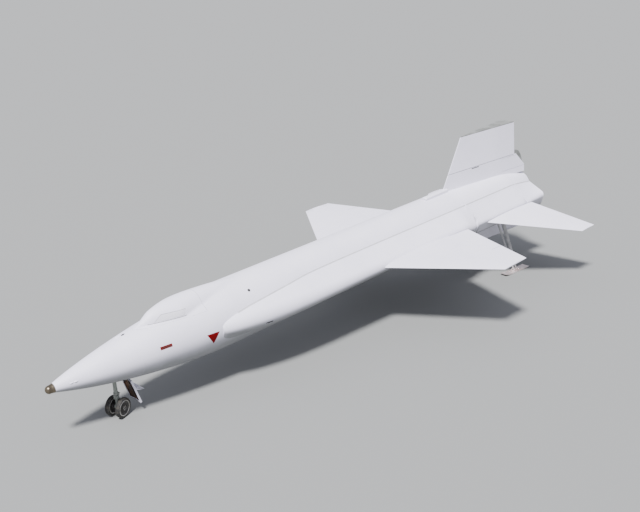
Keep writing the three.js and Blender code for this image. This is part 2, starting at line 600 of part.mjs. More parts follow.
makeBodySections();
makeCanopy();
makeFairings();
makeWings();
makeStabilisers();
makeFins();
makeFinCore();
makeFinRidge();
makeEngine();
makeCockpit();
makeNoseGear();
makeNoseDoor();
makeSkids();

// Tips the airframe nose down and stands it on the ground, centred on the middle of its length.
airframe.rotation.y = -NOSE_DOWN;
const aircraft = new THREE.Group();
aircraft.add(airframe);
aircraft.updateMatrixWorld(true);
const extent = new THREE.Box3().setFromObject(aircraft, true);
airframe.position.set(-(extent.min.x + extent.max.x) / 2, 0, -extent.min.z);

export default aircraft;
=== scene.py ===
import json
from math import acos, asin, atan2, ceil, copysign, cos, exp, hypot, log, pi, radians, sin, sqrt, tan

import bmesh
import bpy
from mathutils import Matrix, Vector


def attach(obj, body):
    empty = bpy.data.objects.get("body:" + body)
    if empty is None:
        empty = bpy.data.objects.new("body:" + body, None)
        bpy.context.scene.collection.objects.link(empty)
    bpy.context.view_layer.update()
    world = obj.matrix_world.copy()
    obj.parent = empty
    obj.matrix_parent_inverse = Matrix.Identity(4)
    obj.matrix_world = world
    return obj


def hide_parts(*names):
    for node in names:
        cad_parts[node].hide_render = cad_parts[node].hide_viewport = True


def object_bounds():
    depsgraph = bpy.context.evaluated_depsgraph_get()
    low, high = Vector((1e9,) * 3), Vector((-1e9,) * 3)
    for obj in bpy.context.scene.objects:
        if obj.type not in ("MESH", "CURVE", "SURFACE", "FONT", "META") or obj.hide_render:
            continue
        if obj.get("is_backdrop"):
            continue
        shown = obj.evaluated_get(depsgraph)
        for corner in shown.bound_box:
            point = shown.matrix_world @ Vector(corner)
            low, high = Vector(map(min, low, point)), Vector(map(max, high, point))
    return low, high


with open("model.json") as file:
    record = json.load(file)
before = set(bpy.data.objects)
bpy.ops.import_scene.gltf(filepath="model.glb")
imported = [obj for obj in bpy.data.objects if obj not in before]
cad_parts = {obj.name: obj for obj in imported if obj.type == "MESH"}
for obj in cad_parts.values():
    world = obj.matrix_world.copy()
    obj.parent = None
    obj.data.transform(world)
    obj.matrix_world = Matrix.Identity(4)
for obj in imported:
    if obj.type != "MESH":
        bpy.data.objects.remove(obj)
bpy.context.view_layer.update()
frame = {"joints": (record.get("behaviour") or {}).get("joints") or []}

# The airframe as its own drawing has it: level, X aft from the nose tip, Y to starboard, Z up, in metres.
# It stands nose down on its gear, so every piece is drawn level and then tipped about the nose leg's swivel.
NOSE_DOWN = radians(3.38)
LEG = Vector((1.445, 0, -0.750))
tip_over = Matrix.Rotation(-NOSE_DOWN, 4, "Y")
swivel = next(joint for joint in frame["joints"] if joint["name"] == "nose_caster")
LEVEL = Matrix.Translation(Vector(swivel["pos_m"]) - tip_over @ LEG) @ tip_over


# Camera: on a roof ahead of the port bow, looking down on the aircraft and aft along it.
# Place, aim and lens were worked out from the outlines of wings, fin and body in the photograph.
def in_scene(name, data):
    """A new object in the scene for a mesh, a lens or a lamp."""
    made = bpy.data.objects.new(name, data)
    bpy.context.scene.collection.objects.link(made)
    return made


lens = bpy.data.cameras.new("camera")
lens.sensor_width, lens.lens, lens.clip_end = 36, 49.053, 600
lens.shift_x, lens.shift_y = -0.0060, -0.0148
camera = in_scene("camera", lens)
camera.location = (-14.5474, -14.0698, 9.0707)
camera.rotation_euler = [radians(turn) for turn in (70.92, 0.187, -45.12)]
bpy.context.scene.camera = camera


# Floor and light: a plain pale floor that runs out of sight, one broad high lamp from ahead and to port,
# and an even sky all round for the shaded sides.
FLOOR_REACH, FLOOR_ROUGHNESS = 400, 0.9
FLOOR_TONE = (0.235, 0.24, 0.232, 1)
LAMP_TRAVEL = Vector((0.468, 0.232, -0.853))
LAMP_STRENGTH, LAMP_WIDTH, LAMP_TONE = 8.6, radians(9), (0.985, 0.975, 1.0)
SKY_STRENGTH, SKY_TONE = 0.80, (0.84, 0.86, 1.0, 1)

floor_form = bpy.data.meshes.new("floor")
floor_form.from_pydata(
    [(x * FLOOR_REACH, y * FLOOR_REACH, 0) for x, y in ((-1, -1), (1, -1), (1, 1), (-1, 1))], [], [(0, 1, 2, 3)])
floor = in_scene("floor", floor_form)
floor_coat = bpy.data.materials.new("floor_coat")
floor_coat.use_nodes = True
floor_coat.node_tree.nodes["Principled BSDF"].inputs["Base Color"].default_value = FLOOR_TONE
floor_coat.node_tree.nodes["Principled BSDF"].inputs["Roughness"].default_value = FLOOR_ROUGHNESS
floor_form.materials.append(floor_coat)
floor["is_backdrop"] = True

lamp = bpy.data.lights.new("high_lamp", "SUN")
lamp.energy, lamp.angle, lamp.color = LAMP_STRENGTH, LAMP_WIDTH, LAMP_TONE
in_scene("high_lamp", lamp).rotation_euler = LAMP_TRAVEL.to_track_quat("-Z", "Y").to_euler()

sky = bpy.data.worlds.new("sky")
sky.use_nodes = True
sky.node_tree.nodes["Background"].inputs["Color"].default_value = SKY_TONE
sky.node_tree.nodes["Background"].inputs["Strength"].default_value = SKY_STRENGTH
bpy.context.scene.world = sky


# White coat: a rubbery sealer sprayed over the whole airframe and sanded, so the skin is matt,
# a little uneven, and faintly patchy where one spray pass ends and the next begins.
COLOUR, NUMBER = "NodeSocketColor", "NodeSocketFloat"
SURFACE = [("Colour", COLOUR), ("Roughness", NUMBER), ("Height", NUMBER)]


def effect(name, takes, gives=SURFACE):
    """An effect shared by materials: a node group with named sockets going in and coming out."""
    group = bpy.data.node_groups.new(name, "ShaderNodeTree")
    for socket, kind, start in takes:
        group.interface.new_socket(socket, in_out="INPUT", socket_type=kind).default_value = start
    for socket, kind in gives:
        group.interface.new_socket(socket, in_out="OUTPUT", socket_type=kind)
    return group, group.nodes.new("NodeGroupInput").outputs, group.nodes.new("NodeGroupOutput").inputs


def node(tree, kind, *takes, **settings):
    """Adds a shader node. Its inputs, in order or by name, take values or what other nodes give."""
    made = tree.nodes.new(kind)
    inputs = dict(enumerate(takes))
    for name, value in settings.items():
        if name in made.inputs:
            inputs[name] = value
        else:
            setattr(made, name, value)
    for place, value in inputs.items():
        if isinstance(value, bpy.types.NodeSocket):
            tree.links.new(value, made.inputs[place])
        else:
            made.inputs[place].default_value = value
    return made


def reckon(tree, operation, *takes, clamp=False):
    """A number worked out from others at each place on the surface."""
    return node(tree, "ShaderNodeMath", *takes, operation=operation, use_clamp=clamp).outputs[0]


def noise(tree, place, scale, detail, roughness):
    made = node(tree, "ShaderNodeTexNoise", Vector=place, Scale=scale, Detail=detail, Roughness=roughness)
    return made.outputs["Fac"]


def ramp(tree, value, low, high, **settings):
    """A share that goes from none where the value is low to full where it is high."""
    return node(tree, "ShaderNodeMapRange", value, low, high, **settings).outputs["Result"]


def mixed(tree, share, first, second):
    """The first colour, turning into the second as the share grows."""
    mix = node(tree, "ShaderNodeMix", share, data_type="RGBA")
    tree.links.new(first, mix.inputs[6])
    tree.links.new(second, mix.inputs[7])
    return mix.outputs[2]


def give(tree, gave, **results):
    for name, result in results.items():
        tree.links.new(result, gave[name])


def coated(name, slot, group, values, bump, depth=0.001, metal=0.0, specular=0.5, over=None):
    """A finish: the shared effect with its own values, perhaps painted shade with grime over it, on a plain shader."""
    finish = bpy.data.materials.new(name)
    finish.use_nodes = True
    tree = finish.node_tree
    shader = tree.nodes["Principled BSDF"]
    shader.inputs["Metallic"].default_value = metal
    shader.inputs["Specular IOR Level"].default_value = specular
    made = node(tree, "ShaderNodeGroup", node_tree=group)
    for socket, value in values.items():
        made.inputs[socket].default_value = value
    colour = made.outputs["Colour"]
    if over:
        # The group laid over may be painted shade with grime, darkening what faces down.
        film = node(tree, "ShaderNodeGroup", node_tree=over)
        tree.links.new(colour, film.inputs["Unshaded"])
        colour = film.outputs["Colour"]
    relief = node(tree, "ShaderNodeBump", Strength=bump, Distance=depth, Height=made.outputs["Height"])
    tree.links.new(colour, shader.inputs["Base Color"])
    tree.links.new(made.outputs["Roughness"], shader.inputs["Roughness"])
    tree.links.new(relief.outputs["Normal"], shader.inputs["Normal"])
    return finish


spray, took, gave = effect("sprayed_coat", [
    ("Coat", COLOUR, (0.8, 0.8, 0.8, 1)), ("Patch", COLOUR, (0.7, 0.7, 0.74, 1)), ("Patch size", NUMBER, 0.8),
    ("Streaks", NUMBER, 0.2), ("Grit", NUMBER, 0.4), ("Dullness", NUMBER, 0.5)])
place = node(spray, "ShaderNodeTexCoord").outputs["Object"]
patches = ramp(spray, noise(spray, place, reckon(spray, "DIVIDE", 1, took["Patch size"]), 5, 0.6), 0.42, 0.68)
along = node(spray, "ShaderNodeMapping", Vector=place, Scale=(0.35, 5, 5)).outputs["Vector"]
streaks = ramp(spray, noise(spray, along, 2.2, 6, 0.65), 0.5, 0.75)
both = reckon(spray, "ADD", patches, reckon(spray, "MULTIPLY", streaks, took["Streaks"]), clamp=True)
grit = reckon(spray, "MULTIPLY", noise(spray, place, 160, 2, 0.5), took["Grit"])
give(spray, gave, Colour=mixed(spray, both, took["Coat"], took["Patch"]),
     Roughness=reckon(spray, "MULTIPLY_ADD", both, 0.16, took["Dullness"]),
     Height=reckon(spray, "MULTIPLY_ADD", noise(spray, place, 2.6, 3, 0.5), 5, grit))


def sprayed(name, slot, coat, patch, size, dullness, streaks=0.5, grit=0.8, bump=0.3, **rest):
    """Paint, primer or rubber: its tone and that of its patches, their size, and how rough it is."""
    return coated(name, slot, spray, {
        "Coat": (*coat, 1), "Patch": (*patch, 1), "Patch size": size, "Streaks": streaks, "Grit": grit,
        "Dullness": dullness}, bump, **rest)


# Painted shade with some grime: a greenish grey tone darkens whatever faces down, unevenly, for the undersides' shade
# as well as their dirt.
belly_shade_and_grime, took, gave = effect("belly_shade_and_grime", [
    ("Unshaded", COLOUR, (0.8, 0.8, 0.8, 1)), ("Shade and grime", COLOUR, (0.19, 0.20, 0.198, 1)), ("Share", NUMBER, 0.88)],
    [("Colour", COLOUR)])
facing = node(belly_shade_and_grime, "ShaderNodeSeparateXYZ", node(belly_shade_and_grime, "ShaderNodeNewGeometry").outputs["Normal"])
low_share = ramp(belly_shade_and_grime, facing.outputs["Z"], 0.10, -0.62, interpolation_type="SMOOTHSTEP")
blotches = noise(belly_shade_and_grime, node(belly_shade_and_grime, "ShaderNodeTexCoord").outputs["Object"], 1.6, 5, 0.6)
uneven = reckon(belly_shade_and_grime, "MULTIPLY_ADD", blotches, 0.5, 0.75)
shade_and_grime_share = reckon(belly_shade_and_grime, "MULTIPLY", low_share, uneven, clamp=True)
shade_and_grime_share = reckon(belly_shade_and_grime, "MULTIPLY", shade_and_grime_share, took["Share"], clamp=True)
give(belly_shade_and_grime, gave, Colour=mixed(belly_shade_and_grime, shade_and_grime_share, took["Unshaded"], took["Shade and grime"]))

# Painted shade with grime darkens this coat wherever it faces the ground.
white_coat = sprayed("white_coat", "white_paint", (0.84, 0.822, 0.92), (0.79, 0.775, 0.875), 0.9, 0.46,
                     streaks=0.25, grit=0.5, bump=0.35, depth=0.0015, over=belly_shade_and_grime)


# Body: the round barrel that carries everything, in five drum sections butted end to end with welded rings.
# Nose and cockpit are skin over frames, the long middle sections are the two tanks, and the last holds the engine.
BODY_RADIUS, BODY_SIDES = 0.711, 144
OGIVE_START, OGIVE_END = -0.12, 4.20
OGIVE_ARC = (BODY_RADIUS ** 2 + (OGIVE_END - OGIVE_START) ** 2) / (2 * BODY_RADIUS)
DROOP, DROOP_LENGTH = 0.038, 2.6
SLIM_START, SLIM_END, SLIM_DEPTH, SLIM_POWER = 0.30, 4.20, 0.033, 1.25
TAIL_START, TAIL_END, TAIL_RADIUS = 14.30, 15.75, 0.548
BALL_END, NOSE_END, COCKPIT_END, OXIDISER_END, FUEL_END = 0.17, 1.90, 4.18, 8.30, 12.10
SEAM_WIDTH, SEAM_DEPTH = 0.0016, 0.0012


def nose_slim(x):
    """How far the nose's upper line lies below a plain ogive, while its lower line follows it."""
    share = (x - SLIM_START) / (SLIM_END - SLIM_START)
    return SLIM_DEPTH * sin(pi * share) ** SLIM_POWER if 0 < share < 1 else 0.0


def body_radius(x):
    ahead = max(0.0, OGIVE_END - x)
    aft = max(0.0, (x - TAIL_START) / (TAIL_END - TAIL_START))
    ogive = sqrt(OGIVE_ARC ** 2 - ahead ** 2) + BODY_RADIUS - OGIVE_ARC
    return ogive - nose_slim(x) - (BODY_RADIUS - TAIL_RADIUS) * aft ** 2


def body_centre(x):
    return -DROOP * (1 + cos(pi * min(1.0, x / DROOP_LENGTH))) / 2 - nose_slim(x)


def spread(start, end, step):
    """Even distances from start to end, no more than a step apart."""
    count = max(1, ceil((end - start) / step - 1e-9))
    return [start + (end - start) * i / count for i in range(count + 1)]


def keep_sharp(mesh, angle=32):
    """Shades a mesh smooth, except over edges sharper than an angle."""
    mesh.shade_smooth()
    mesh.set_sharp_from_angle(angle=radians(angle))


def settle(form, name, sharp=32, lie=None):
    """Turns worked metal into a piece that lies in the tipped airframe, or elsewhere, with its sharp edges kept."""
    bmesh.ops.remove_doubles(form, verts=form.verts, dist=1e-6)
    bmesh.ops.dissolve_degenerate(form, edges=form.edges, dist=1e-7)
    bmesh.ops.recalc_face_normals(form, faces=form.faces)
    mesh = bpy.data.meshes.new(name)
    form.to_mesh(mesh)
    form.free()
    keep_sharp(mesh, sharp)
    piece = in_scene(name, mesh)
    piece.matrix_world = LEVEL if lie is None else lie
    return piece


def stitch(form, rings, round_trip=False):
    """Skins rings of equal count one to the next, and closes the ends unless the last meets the first."""
    hoops = [[form.verts.new(point) for point in ring] for ring in rings]
    for near, far in zip(hoops, hoops[1:] + hoops[:1] if round_trip else hoops[1:]):
        for i, point in enumerate(near):
            j = (i + 1) % len(near)
            form.faces.new((point, near[j], far[j], far[i]))
    if not round_trip:
        form.faces.new(hoops[0])
        form.faces.new(hoops[-1])


def skinned(name, rings, sharp=32, round_trip=False, lie=None):
    form = bmesh.new()
    stitch(form, rings, round_trip)
    return settle(form, name, sharp, lie)


def boxed(name, low, high, lie=None):
    corners = [(low[1], low[2]), (high[1], low[2]), (high[1], high[2]), (low[1], high[2])]
    return skinned(name, [[(x, y, z) for y, z in corners] for x in (low[0], high[0])], lie=lie)


def carve(piece, tool, way="DIFFERENCE"):
    """Cuts a piece with a tool, or keeps what both share, and puts the tool away."""
    cut = piece.modifiers.new("cut", "BOOLEAN")
    cut.operation, cut.object, cut.solver = way, tool, "EXACT"
    bpy.context.view_layer.update()
    left_over = bpy.data.meshes.new_from_object(piece.evaluated_get(bpy.context.evaluated_depsgraph_get()))
    piece.modifiers.clear()
    piece.data = left_over
    keep_sharp(left_over)
    bpy.data.objects.remove(tool)


def fit(piece, finish, *stands_for, body="airframe", slot=None):
    """Gives a piece its finish, hangs it on its body and hides the solids it stands for."""
    piece.data.materials.clear()
    piece.data.materials.append(finish)
    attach(piece, body)
    if stands_for:
        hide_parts(*stands_for)


def round_turns(count, shift=0):
    """Even angles all round."""
    return [2 * pi * (i + shift) / count for i in range(count)]


def body_hoop(x, growth=0.0):
    radius, centre = body_radius(x) + growth, body_centre(x)
    return [(x, radius * cos(turn), centre + radius * sin(turn)) for turn in round_turns(BODY_SIDES)]


def body_drum(name, start, end, growth=0.0, step=0.08, seams=True):
    """A length of the body's skin, with its two ends drawn in a little for the seams."""
    hoops = [body_hoop(x, growth) for x in spread(start + SEAM_WIDTH, end - SEAM_WIDTH, step)]
    if seams:
        hoops = [body_hoop(start, -SEAM_DEPTH), *hoops, body_hoop(end, -SEAM_DEPTH)]
    return skinned(name, hoops)


SILL = 0.468
HUMP_SPLIT = 3.555
WELL_FRONT, WELL_REAR, WELL_HALF, WELL_ROOF = 1.29, 1.73, 0.19, -0.13
COCKPIT_FRONT, COCKPIT_REAR, COCKPIT_FLOOR, COCKPIT_WALL = 2.35, 3.50, -0.33, 0.06
BAY_FRONT, BAY_RADIUS = 13.88, 0.52
SKIN_GAP = 0.0003

nose_skin = body_drum("nose_skin", BALL_END, NOSE_END - SKIN_GAP, step=0.04)
carve(nose_skin, boxed("well_tool", (WELL_FRONT, -WELL_HALF, -1), (WELL_REAR, WELL_HALF, WELL_ROOF)))
fit(nose_skin, white_coat, "nose_section")

cockpit_skin = body_drum("cockpit_skin", NOSE_END, COCKPIT_END - SKIN_GAP, step=0.05)
carve(cockpit_skin, boxed("sill_tool", (NOSE_END + 0.02, -1, SILL), (HUMP_SPLIT, 1, 2)))
hollow_tool = skinned("hollow_tool", [body_hoop(x, -COCKPIT_WALL) for x in spread(COCKPIT_FRONT, COCKPIT_REAR, 0.1)])
carve(hollow_tool, boxed("floor_tool", (0, -1, -1), (5, 1, COCKPIT_FLOOR)))
carve(cockpit_skin, hollow_tool)
fit(cockpit_skin, white_coat, "cockpit_section")

for name, start, end, solid in (
        ("oxidiser_tank_skin", COCKPIT_END, OXIDISER_END - SKIN_GAP, "oxidiser_tank_section"),
        ("fuel_tank_skin", OXIDISER_END, FUEL_END - SKIN_GAP, "fuel_tank_section")):
    fit(body_drum(name, start, end, step=0.15), white_coat, solid)

engine_skin = body_drum("engine_skin", FUEL_END, TAIL_END, step=0.1, seams=False)
carve(engine_skin, skinned("bay_tool", [
    [(x, BAY_RADIUS * cos(turn), BAY_RADIUS * sin(turn)) for turn in round_turns(96)]
    for x in (BAY_FRONT, TAIL_END + 0.1)]))
fit(engine_skin, white_coat, "engine_section")


# Nose ball: the flow-direction sensor, a turned alloy sphere in a collar, browned by heat.
# It seats in the nose section's front ring, with three small sensing holes around its tip.
metal, took, gave = effect("worked_metal", [
    ("Metal", COLOUR, (0.5, 0.5, 0.5, 1)), ("Stain", COLOUR, (0.3, 0.25, 0.2, 1)), ("Grain", NUMBER, 60),
    ("Stain size", NUMBER, 3), ("Polish", NUMBER, 0.35)])
place = node(metal, "ShaderNodeTexCoord").outputs["Object"]
stained = ramp(metal, noise(metal, place, took["Stain size"], 6, 0.65), 0.4, 0.66)
lay = node(metal, "ShaderNodeMapping", Vector=place, Scale=(6, 1, 1)).outputs["Vector"]
scratches = noise(metal, lay, took["Grain"], 4, 0.7)
give(metal, gave, Colour=mixed(metal, stained, took["Metal"], took["Stain"]),
     Roughness=reckon(metal, "MULTIPLY_ADD", scratches, 0.3, took["Polish"]), Height=scratches)


def worked(name, slot, tone, stain, grain, stain_size, polish, bump, metallic, depth=0.001):
    """Bare metal: its tone and that of its stains, the scale of its grain and stains, and its polish."""
    return coated(name, slot, metal, {
        "Metal": (*tone, 1), "Stain": (*stain, 1), "Grain": grain, "Stain size": stain_size, "Polish": polish},
        bump, depth, metallic)


browned_alloy = worked("browned_alloy", "ball_bronze", (0.20, 0.165, 0.115), (0.085, 0.07, 0.052), 90, 9, 0.18,
                       bump=0.15, metallic=0.85, depth=0.0004)


def beside(aim):
    """Two directions square to an aim and to each other."""
    side = aim.orthogonal().normalized()
    return side, aim.cross(side)


def ring_round(middle, side, other, radius, count):
    return [middle + (side * cos(turn) + other * sin(turn)) * radius for turn in round_turns(count)]


def turned(name, outline, start, end, count=48, closed=False, lie=None):
    """Spins an outline of (distance, radius) about the line from one point towards another."""
    start = Vector(start)
    aim = (Vector(end) - start).normalized()
    side, other = beside(aim)
    hoops = [ring_round(start + aim * along, side, other, radius, count) for along, radius in outline]
    return skinned(name, hoops, round_trip=closed, lie=lie)


def plain_bar(start, end, radius):
    """The outline of a round bar, pin or drill between two distances."""
    return [(start, 0), (start, radius), (end, radius), (end, 0)]


def fillet_ends(length, radius, edge=0.002, steps=3):
    """The outline of a round bar with its two rims eased."""
    quarter = [(sin(pi / 2 * i / steps), cos(pi / 2 * i / steps)) for i in range(steps + 1)]
    front = [(edge * (1 - lift), radius - edge * (1 - run)) for run, lift in quarter]
    return [(0, 0), *front, *[(length - along, reach) for along, reach in reversed(front)], (length, 0)]


def stand(piece):
    """Redraws a piece square to the ground where it lies, for one that reaches the aircraft's greatest size."""
    piece.data.transform(piece.matrix_world)
    piece.matrix_world = Matrix()


BALL_RADIUS, BALL_CENTRE = 0.084, 0.0842
COLLAR_START = 0.110
ball_arc = [radians(turn) for turn in range(0, 109, 6)]
ball_outline = [(BALL_CENTRE - BALL_RADIUS * cos(turn), BALL_RADIUS * sin(turn)) for turn in ball_arc]
collar = [(COLLAR_START, 0.0832), (COLLAR_START + 0.002, 0.0868), (0.140, 0.0900), (0.166, 0.0962),
          (0.1690, 0.0962), (BALL_END - SKIN_GAP, 0.0948), (BALL_END - SKIN_GAP, 0)]
axis_start = (0, 0, body_centre(0))
nose_ball = turned("sensor_ball", [point for point in ball_outline if point[0] < COLLAR_START - 0.001] + collar,
                   axis_start, (1, 0, body_centre(0)), count=72)
heart = Vector((BALL_CENTRE, 0, body_centre(0)))
for turn in (90, 210, 330):
    out = Vector((0.30, cos(radians(turn)), sin(radians(turn)))).normalized()
    out.x = -abs(out.x) * 2.2
    out.normalize()
    carve(nose_ball, turned("port_tool", plain_bar(0, 0.02, 0.0035), heart + out * (BALL_RADIUS - 0.006),
                            heart + out, count=16))
stand(nose_ball)
fit(nose_ball, browned_alloy, "nose_ball")


# Hump: the raised lid over the pilot, hinged at its rear edge, with a white blanking panel over each window,
# and the fixed fairing that runs down behind it onto the first tank.
HUMP_SPRING, HUMP_START, HUMP_END, HUMP_WALL = 0.438, 2.05, 4.85, 0.035
HUMP_BLEND = 0.03
# Columns: distance aft, half-width, height of the ridge.
HUMP_LINES = [
    (2.050, 0.030, 0.472), (2.139, 0.062, 0.521), (2.300, 0.130, 0.622), (2.455, 0.192, 0.715),
    (2.778, 0.305, 0.788), (3.050, 0.373, 0.812), (3.315, 0.360, 0.820), (3.774, 0.332, 0.802),
    (4.310, 0.275, 0.760), (4.850, 0.150, 0.690),
]


def fair(lines, x):
    """Reads a table at a distance aft, on a smooth line through its rows that never overshoots them."""
    x = min(max(x, lines[0][0]), lines[-1][0])
    i = max(row for row in range(len(lines) - 1) if lines[row][0] <= x)
    a, b = lines[i], lines[i + 1]
    before, after = lines[max(i - 1, 0)], lines[min(i + 2, len(lines) - 1)]
    run = b[0] - a[0]
    t = (x - a[0]) / run
    read = []
    for column in range(1, len(a)):
        rise = b[column] - a[column]
        slopes = [(b[column] - before[column]) / (b[0] - before[0]) * run,
                  (after[column] - a[column]) / (after[0] - a[0]) * run]
        start, end = [0 if slope * rise <= 0 else copysign(min(abs(slope), 3 * abs(rise)), rise)
                      for slope in slopes]
        read.append(a[column] + start * t + (3 * rise - 2 * start - end) * t ** 2 + (start + end - 2 * rise) * t ** 3)
    return read


def joined(a, b, softness):
    """The outer of two reaches, with a soft hollow where they cross."""
    return max(a, b) + max(softness - abs(a - b), 0) ** 2 / (4 * softness)


def hump_reach(x, turn, inset=0.0):
    """Distance from the body's axis to the hump's outside, at an angle above level."""
    half, top = fair(HUMP_LINES, x)
    half, rise = max(0.01, half - inset), max(0.01, top - inset - HUMP_SPRING)
    spring = HUMP_SPRING - body_centre(x)
    across, up = cos(turn) / half, sin(turn) / rise
    a, b = across ** 2 + up ** 2, up * spring / rise
    spare = b ** 2 - a * ((spring / rise) ** 2 - 1)
    return (b + sqrt(spare)) / a if spare > 0 else 0.0


def over_hump(x, turn):
    """Distance from the body's axis to the outside of body and hump together."""
    skin = body_radius(x)
    if not HUMP_START <= x <= HUMP_END:
        return skin
    softness = HUMP_BLEND * min(1, (x - HUMP_START) / 0.2, (HUMP_END - x) / 0.2) + 1e-4
    return joined(skin, hump_reach(x, turn), softness)


def polar(x, turn, reach):
    return (x, reach * cos(turn), body_centre(x) + reach * sin(turn))


def foot_turn(meets, low, high):
    """Finds the angle at which a test stops being true, between a low angle where it is and a high one."""
    for _ in range(40):
        middle = (low + high) / 2
        low, high = (middle, high) if meets(middle) else (low, middle)
    return low


def turn_at_height(x, z):
    """The angle at which the outside of body and hump together reaches a height."""
    return foot_turn(lambda turn: body_centre(x) + over_hump(x, turn) * sin(turn) < z, 0.0, pi / 2)


LID_START, LID_HOLLOW = 2.036, 2.20
LID_REAR = HUMP_SPLIT - 0.006
SILL_CLEARANCE = 0.002
LID_STEPS = 56


def lid_hoop(x, hollow):
    """One ring of the lid: over the outside from sill to sill, then back along the inside."""
    sill = SILL + SILL_CLEARANCE
    start = turn_at_height(x, sill)
    turns = [start + (pi - 2 * start) * i / LID_STEPS for i in range(LID_STEPS + 1)]
    outside = [polar(x, turn, over_hump(x, turn)) for turn in turns]
    inside = []
    for i, (_, y, _) in enumerate(reversed(outside)):
        if hollow:
            half, top = fair(HUMP_LINES, x)
            half, rise = half - HUMP_WALL, top - HUMP_WALL - HUMP_SPRING
            low = asin(min(1, (sill - HUMP_SPRING) / rise))
            swing = pi - low - (pi - 2 * low) * i / LID_STEPS
            inside.append((x, half * cos(swing), HUMP_SPRING + rise * sin(swing)))
        else:
            inside.append((x, y * 0.9, sill))
    return outside + inside


solid_stops = spread(LID_START, LID_HOLLOW, 0.02)
hollow_stops = spread(LID_HOLLOW + 0.001, LID_REAR, 0.03)
lid = skinned("canopy_lid", [lid_hoop(x, False) for x in solid_stops] + [lid_hoop(x, True) for x in hollow_stops])

# Columns: distance aft, height. The window's corners as they show from the side.
WINDOW_CORNERS = [(2.42, 0.518), (2.60, 0.650), (3.13, 0.638), (3.08, 0.518)]
WINDOW_INNER, WINDOW_OUTER = 0.05, 0.50
WINDOW_GAP, WINDOW_SINK = 0.006, 0.006


def eased(corners, inset, radius=0.03, steps=5):
    """An outline drawn in by an inset, with its corners rounded."""
    outline = []
    count = len(corners)
    for i in range(count):
        here, before, after = (Vector(corners[k % count]) for k in (i, i - 1, i + 1))
        to_before, to_after = (before - here).normalized(), (after - here).normalized()
        corner = here + (to_before + to_after).normalized() * inset * 1.5
        for step in range(steps + 1):
            share = step / steps
            a, b = corner + to_before * radius * (1 - share), corner + to_after * radius * share
            outline.append(a.lerp(b, share))
    return outline


def across(name, outline, start, end, side=1):
    """Cuts an outline of distance aft and height through the aircraft, between two places to one side."""
    return skinned(name, [[(x, side * y, z) for x, z in outline] for y in (start, end)])


def twin(piece, name):
    """A second piece of the same form, to be cut in another way."""
    made = piece.copy()
    made.data = piece.data.copy()
    made.name = name
    bpy.context.scene.collection.objects.link(made)
    return made


def to_side(ring, side):
    return [(x, side * y, z) for x, y, z in ring]


SIDES = (("left", -1), ("right", 1))
for side_name, side in SIDES:
    blank = twin(lid, f"window_blank_{side_name}")
    window = across("window_tool", eased(WINDOW_CORNERS, WINDOW_GAP), WINDOW_INNER, WINDOW_OUTER, side)
    carve(blank, window, "INTERSECT")
    for point in blank.data.vertices:
        point.co.y -= side * WINDOW_SINK
    # Painted shade with grime also darkens these panels where they face down.
    window_coat = sprayed(f"blank_coat_{side_name}", "white_paint", (0.77, 0.755, 0.82), (0.72, 0.705, 0.765), 0.25,
                          0.5, streaks=0.3, grit=0.6, bump=0.35, depth=0.0015, over=belly_shade_and_grime)
    fit(blank, window_coat, f"window_cover_{side_name}", body="canopy")
for _, side in SIDES:
    carve(lid, across("window_tool", eased(WINDOW_CORNERS, 0.0), WINDOW_INNER, WINDOW_OUTER, side))
fit(lid, white_coat, "canopy", body="canopy")

# A dark strip of rubber seals the foot of each panel.
seal_rubber = sprayed("seal_rubber", "cockpit_black", (0.10, 0.10, 0.105), (0.17, 0.168, 0.17), 0.05, 0.6,
                      streaks=0.4, grit=0.7, depth=0.0006)
SEAL_FRONT, SEAL_REAR, SEAL_LOW, SEAL_HIGH = 2.30, 3.11, 0.5035, 0.5125
SEAL_ROOT, SEAL_PROUD = -0.003, 0.0008
for side_name, side in SIDES:
    rings = []
    for x in spread(SEAL_FRONT, SEAL_REAR, 0.03):
        low, high = turn_at_height(x, SEAL_LOW), turn_at_height(x, SEAL_HIGH)
        ring = [polar(x, turn, over_hump(x, turn) + lift) for turn, lift in (
            (low, SEAL_ROOT), (low, SEAL_PROUD), (high, SEAL_PROUD), (high, SEAL_ROOT))]
        rings.append(to_side(ring, side))
    fit(skinned(f"window_seal_{side_name}", rings), seal_rubber, body="canopy")

FEATHER, UNDERLAP = 0.0010, 0.0003


def saddle_hoop(x, low, high, reach, steps):
    """One ring of a cover that lies on the body between two angles and thins to a feather at its edges."""
    turns = [low + (high - low) * i / steps for i in range(steps + 1)]
    outside = [polar(x, turn, reach(x, turn)) for turn in turns]
    inside = [polar(x, turn, body_radius(x) + UNDERLAP) for turn in reversed(turns)]
    return outside + inside


def hump_edge(x):
    """The angle at which the hump's feather edge lies on the body."""
    stands = lambda away: over_hump(x, pi / 2 - away) - body_radius(x) > FEATHER
    return pi / 2 - foot_turn(stands, 0.0, pi / 2)


tail_fairing = skinned("canopy_tail_fairing", [
    saddle_hoop(x, hump_edge(x), pi - hump_edge(x), over_hump, LID_STEPS)
    for x in spread(HUMP_SPLIT, HUMP_END - 0.004, 0.03)])
fit(tail_fairing, white_coat, "canopy_fairing")


# Side fairings: long covers down both flanks that hide pipes and cables outside the tanks, in three lengths.
# They fair softly into the barrel above and below, and the rear pair has the flat on which the tailplane turns.
FAIRING_BLEND = 0.02
FAIRING_START, FAIRING_FULL = 3.74, 4.60
TAIL_DROOP = radians(15)
TAIL_HEIGHT, TAIL_SIDE, FLAT_FROM = 0.128, 1.030, 0.42
FLAT_EASE, FAIRING_SIDE = 0.07, 1.12
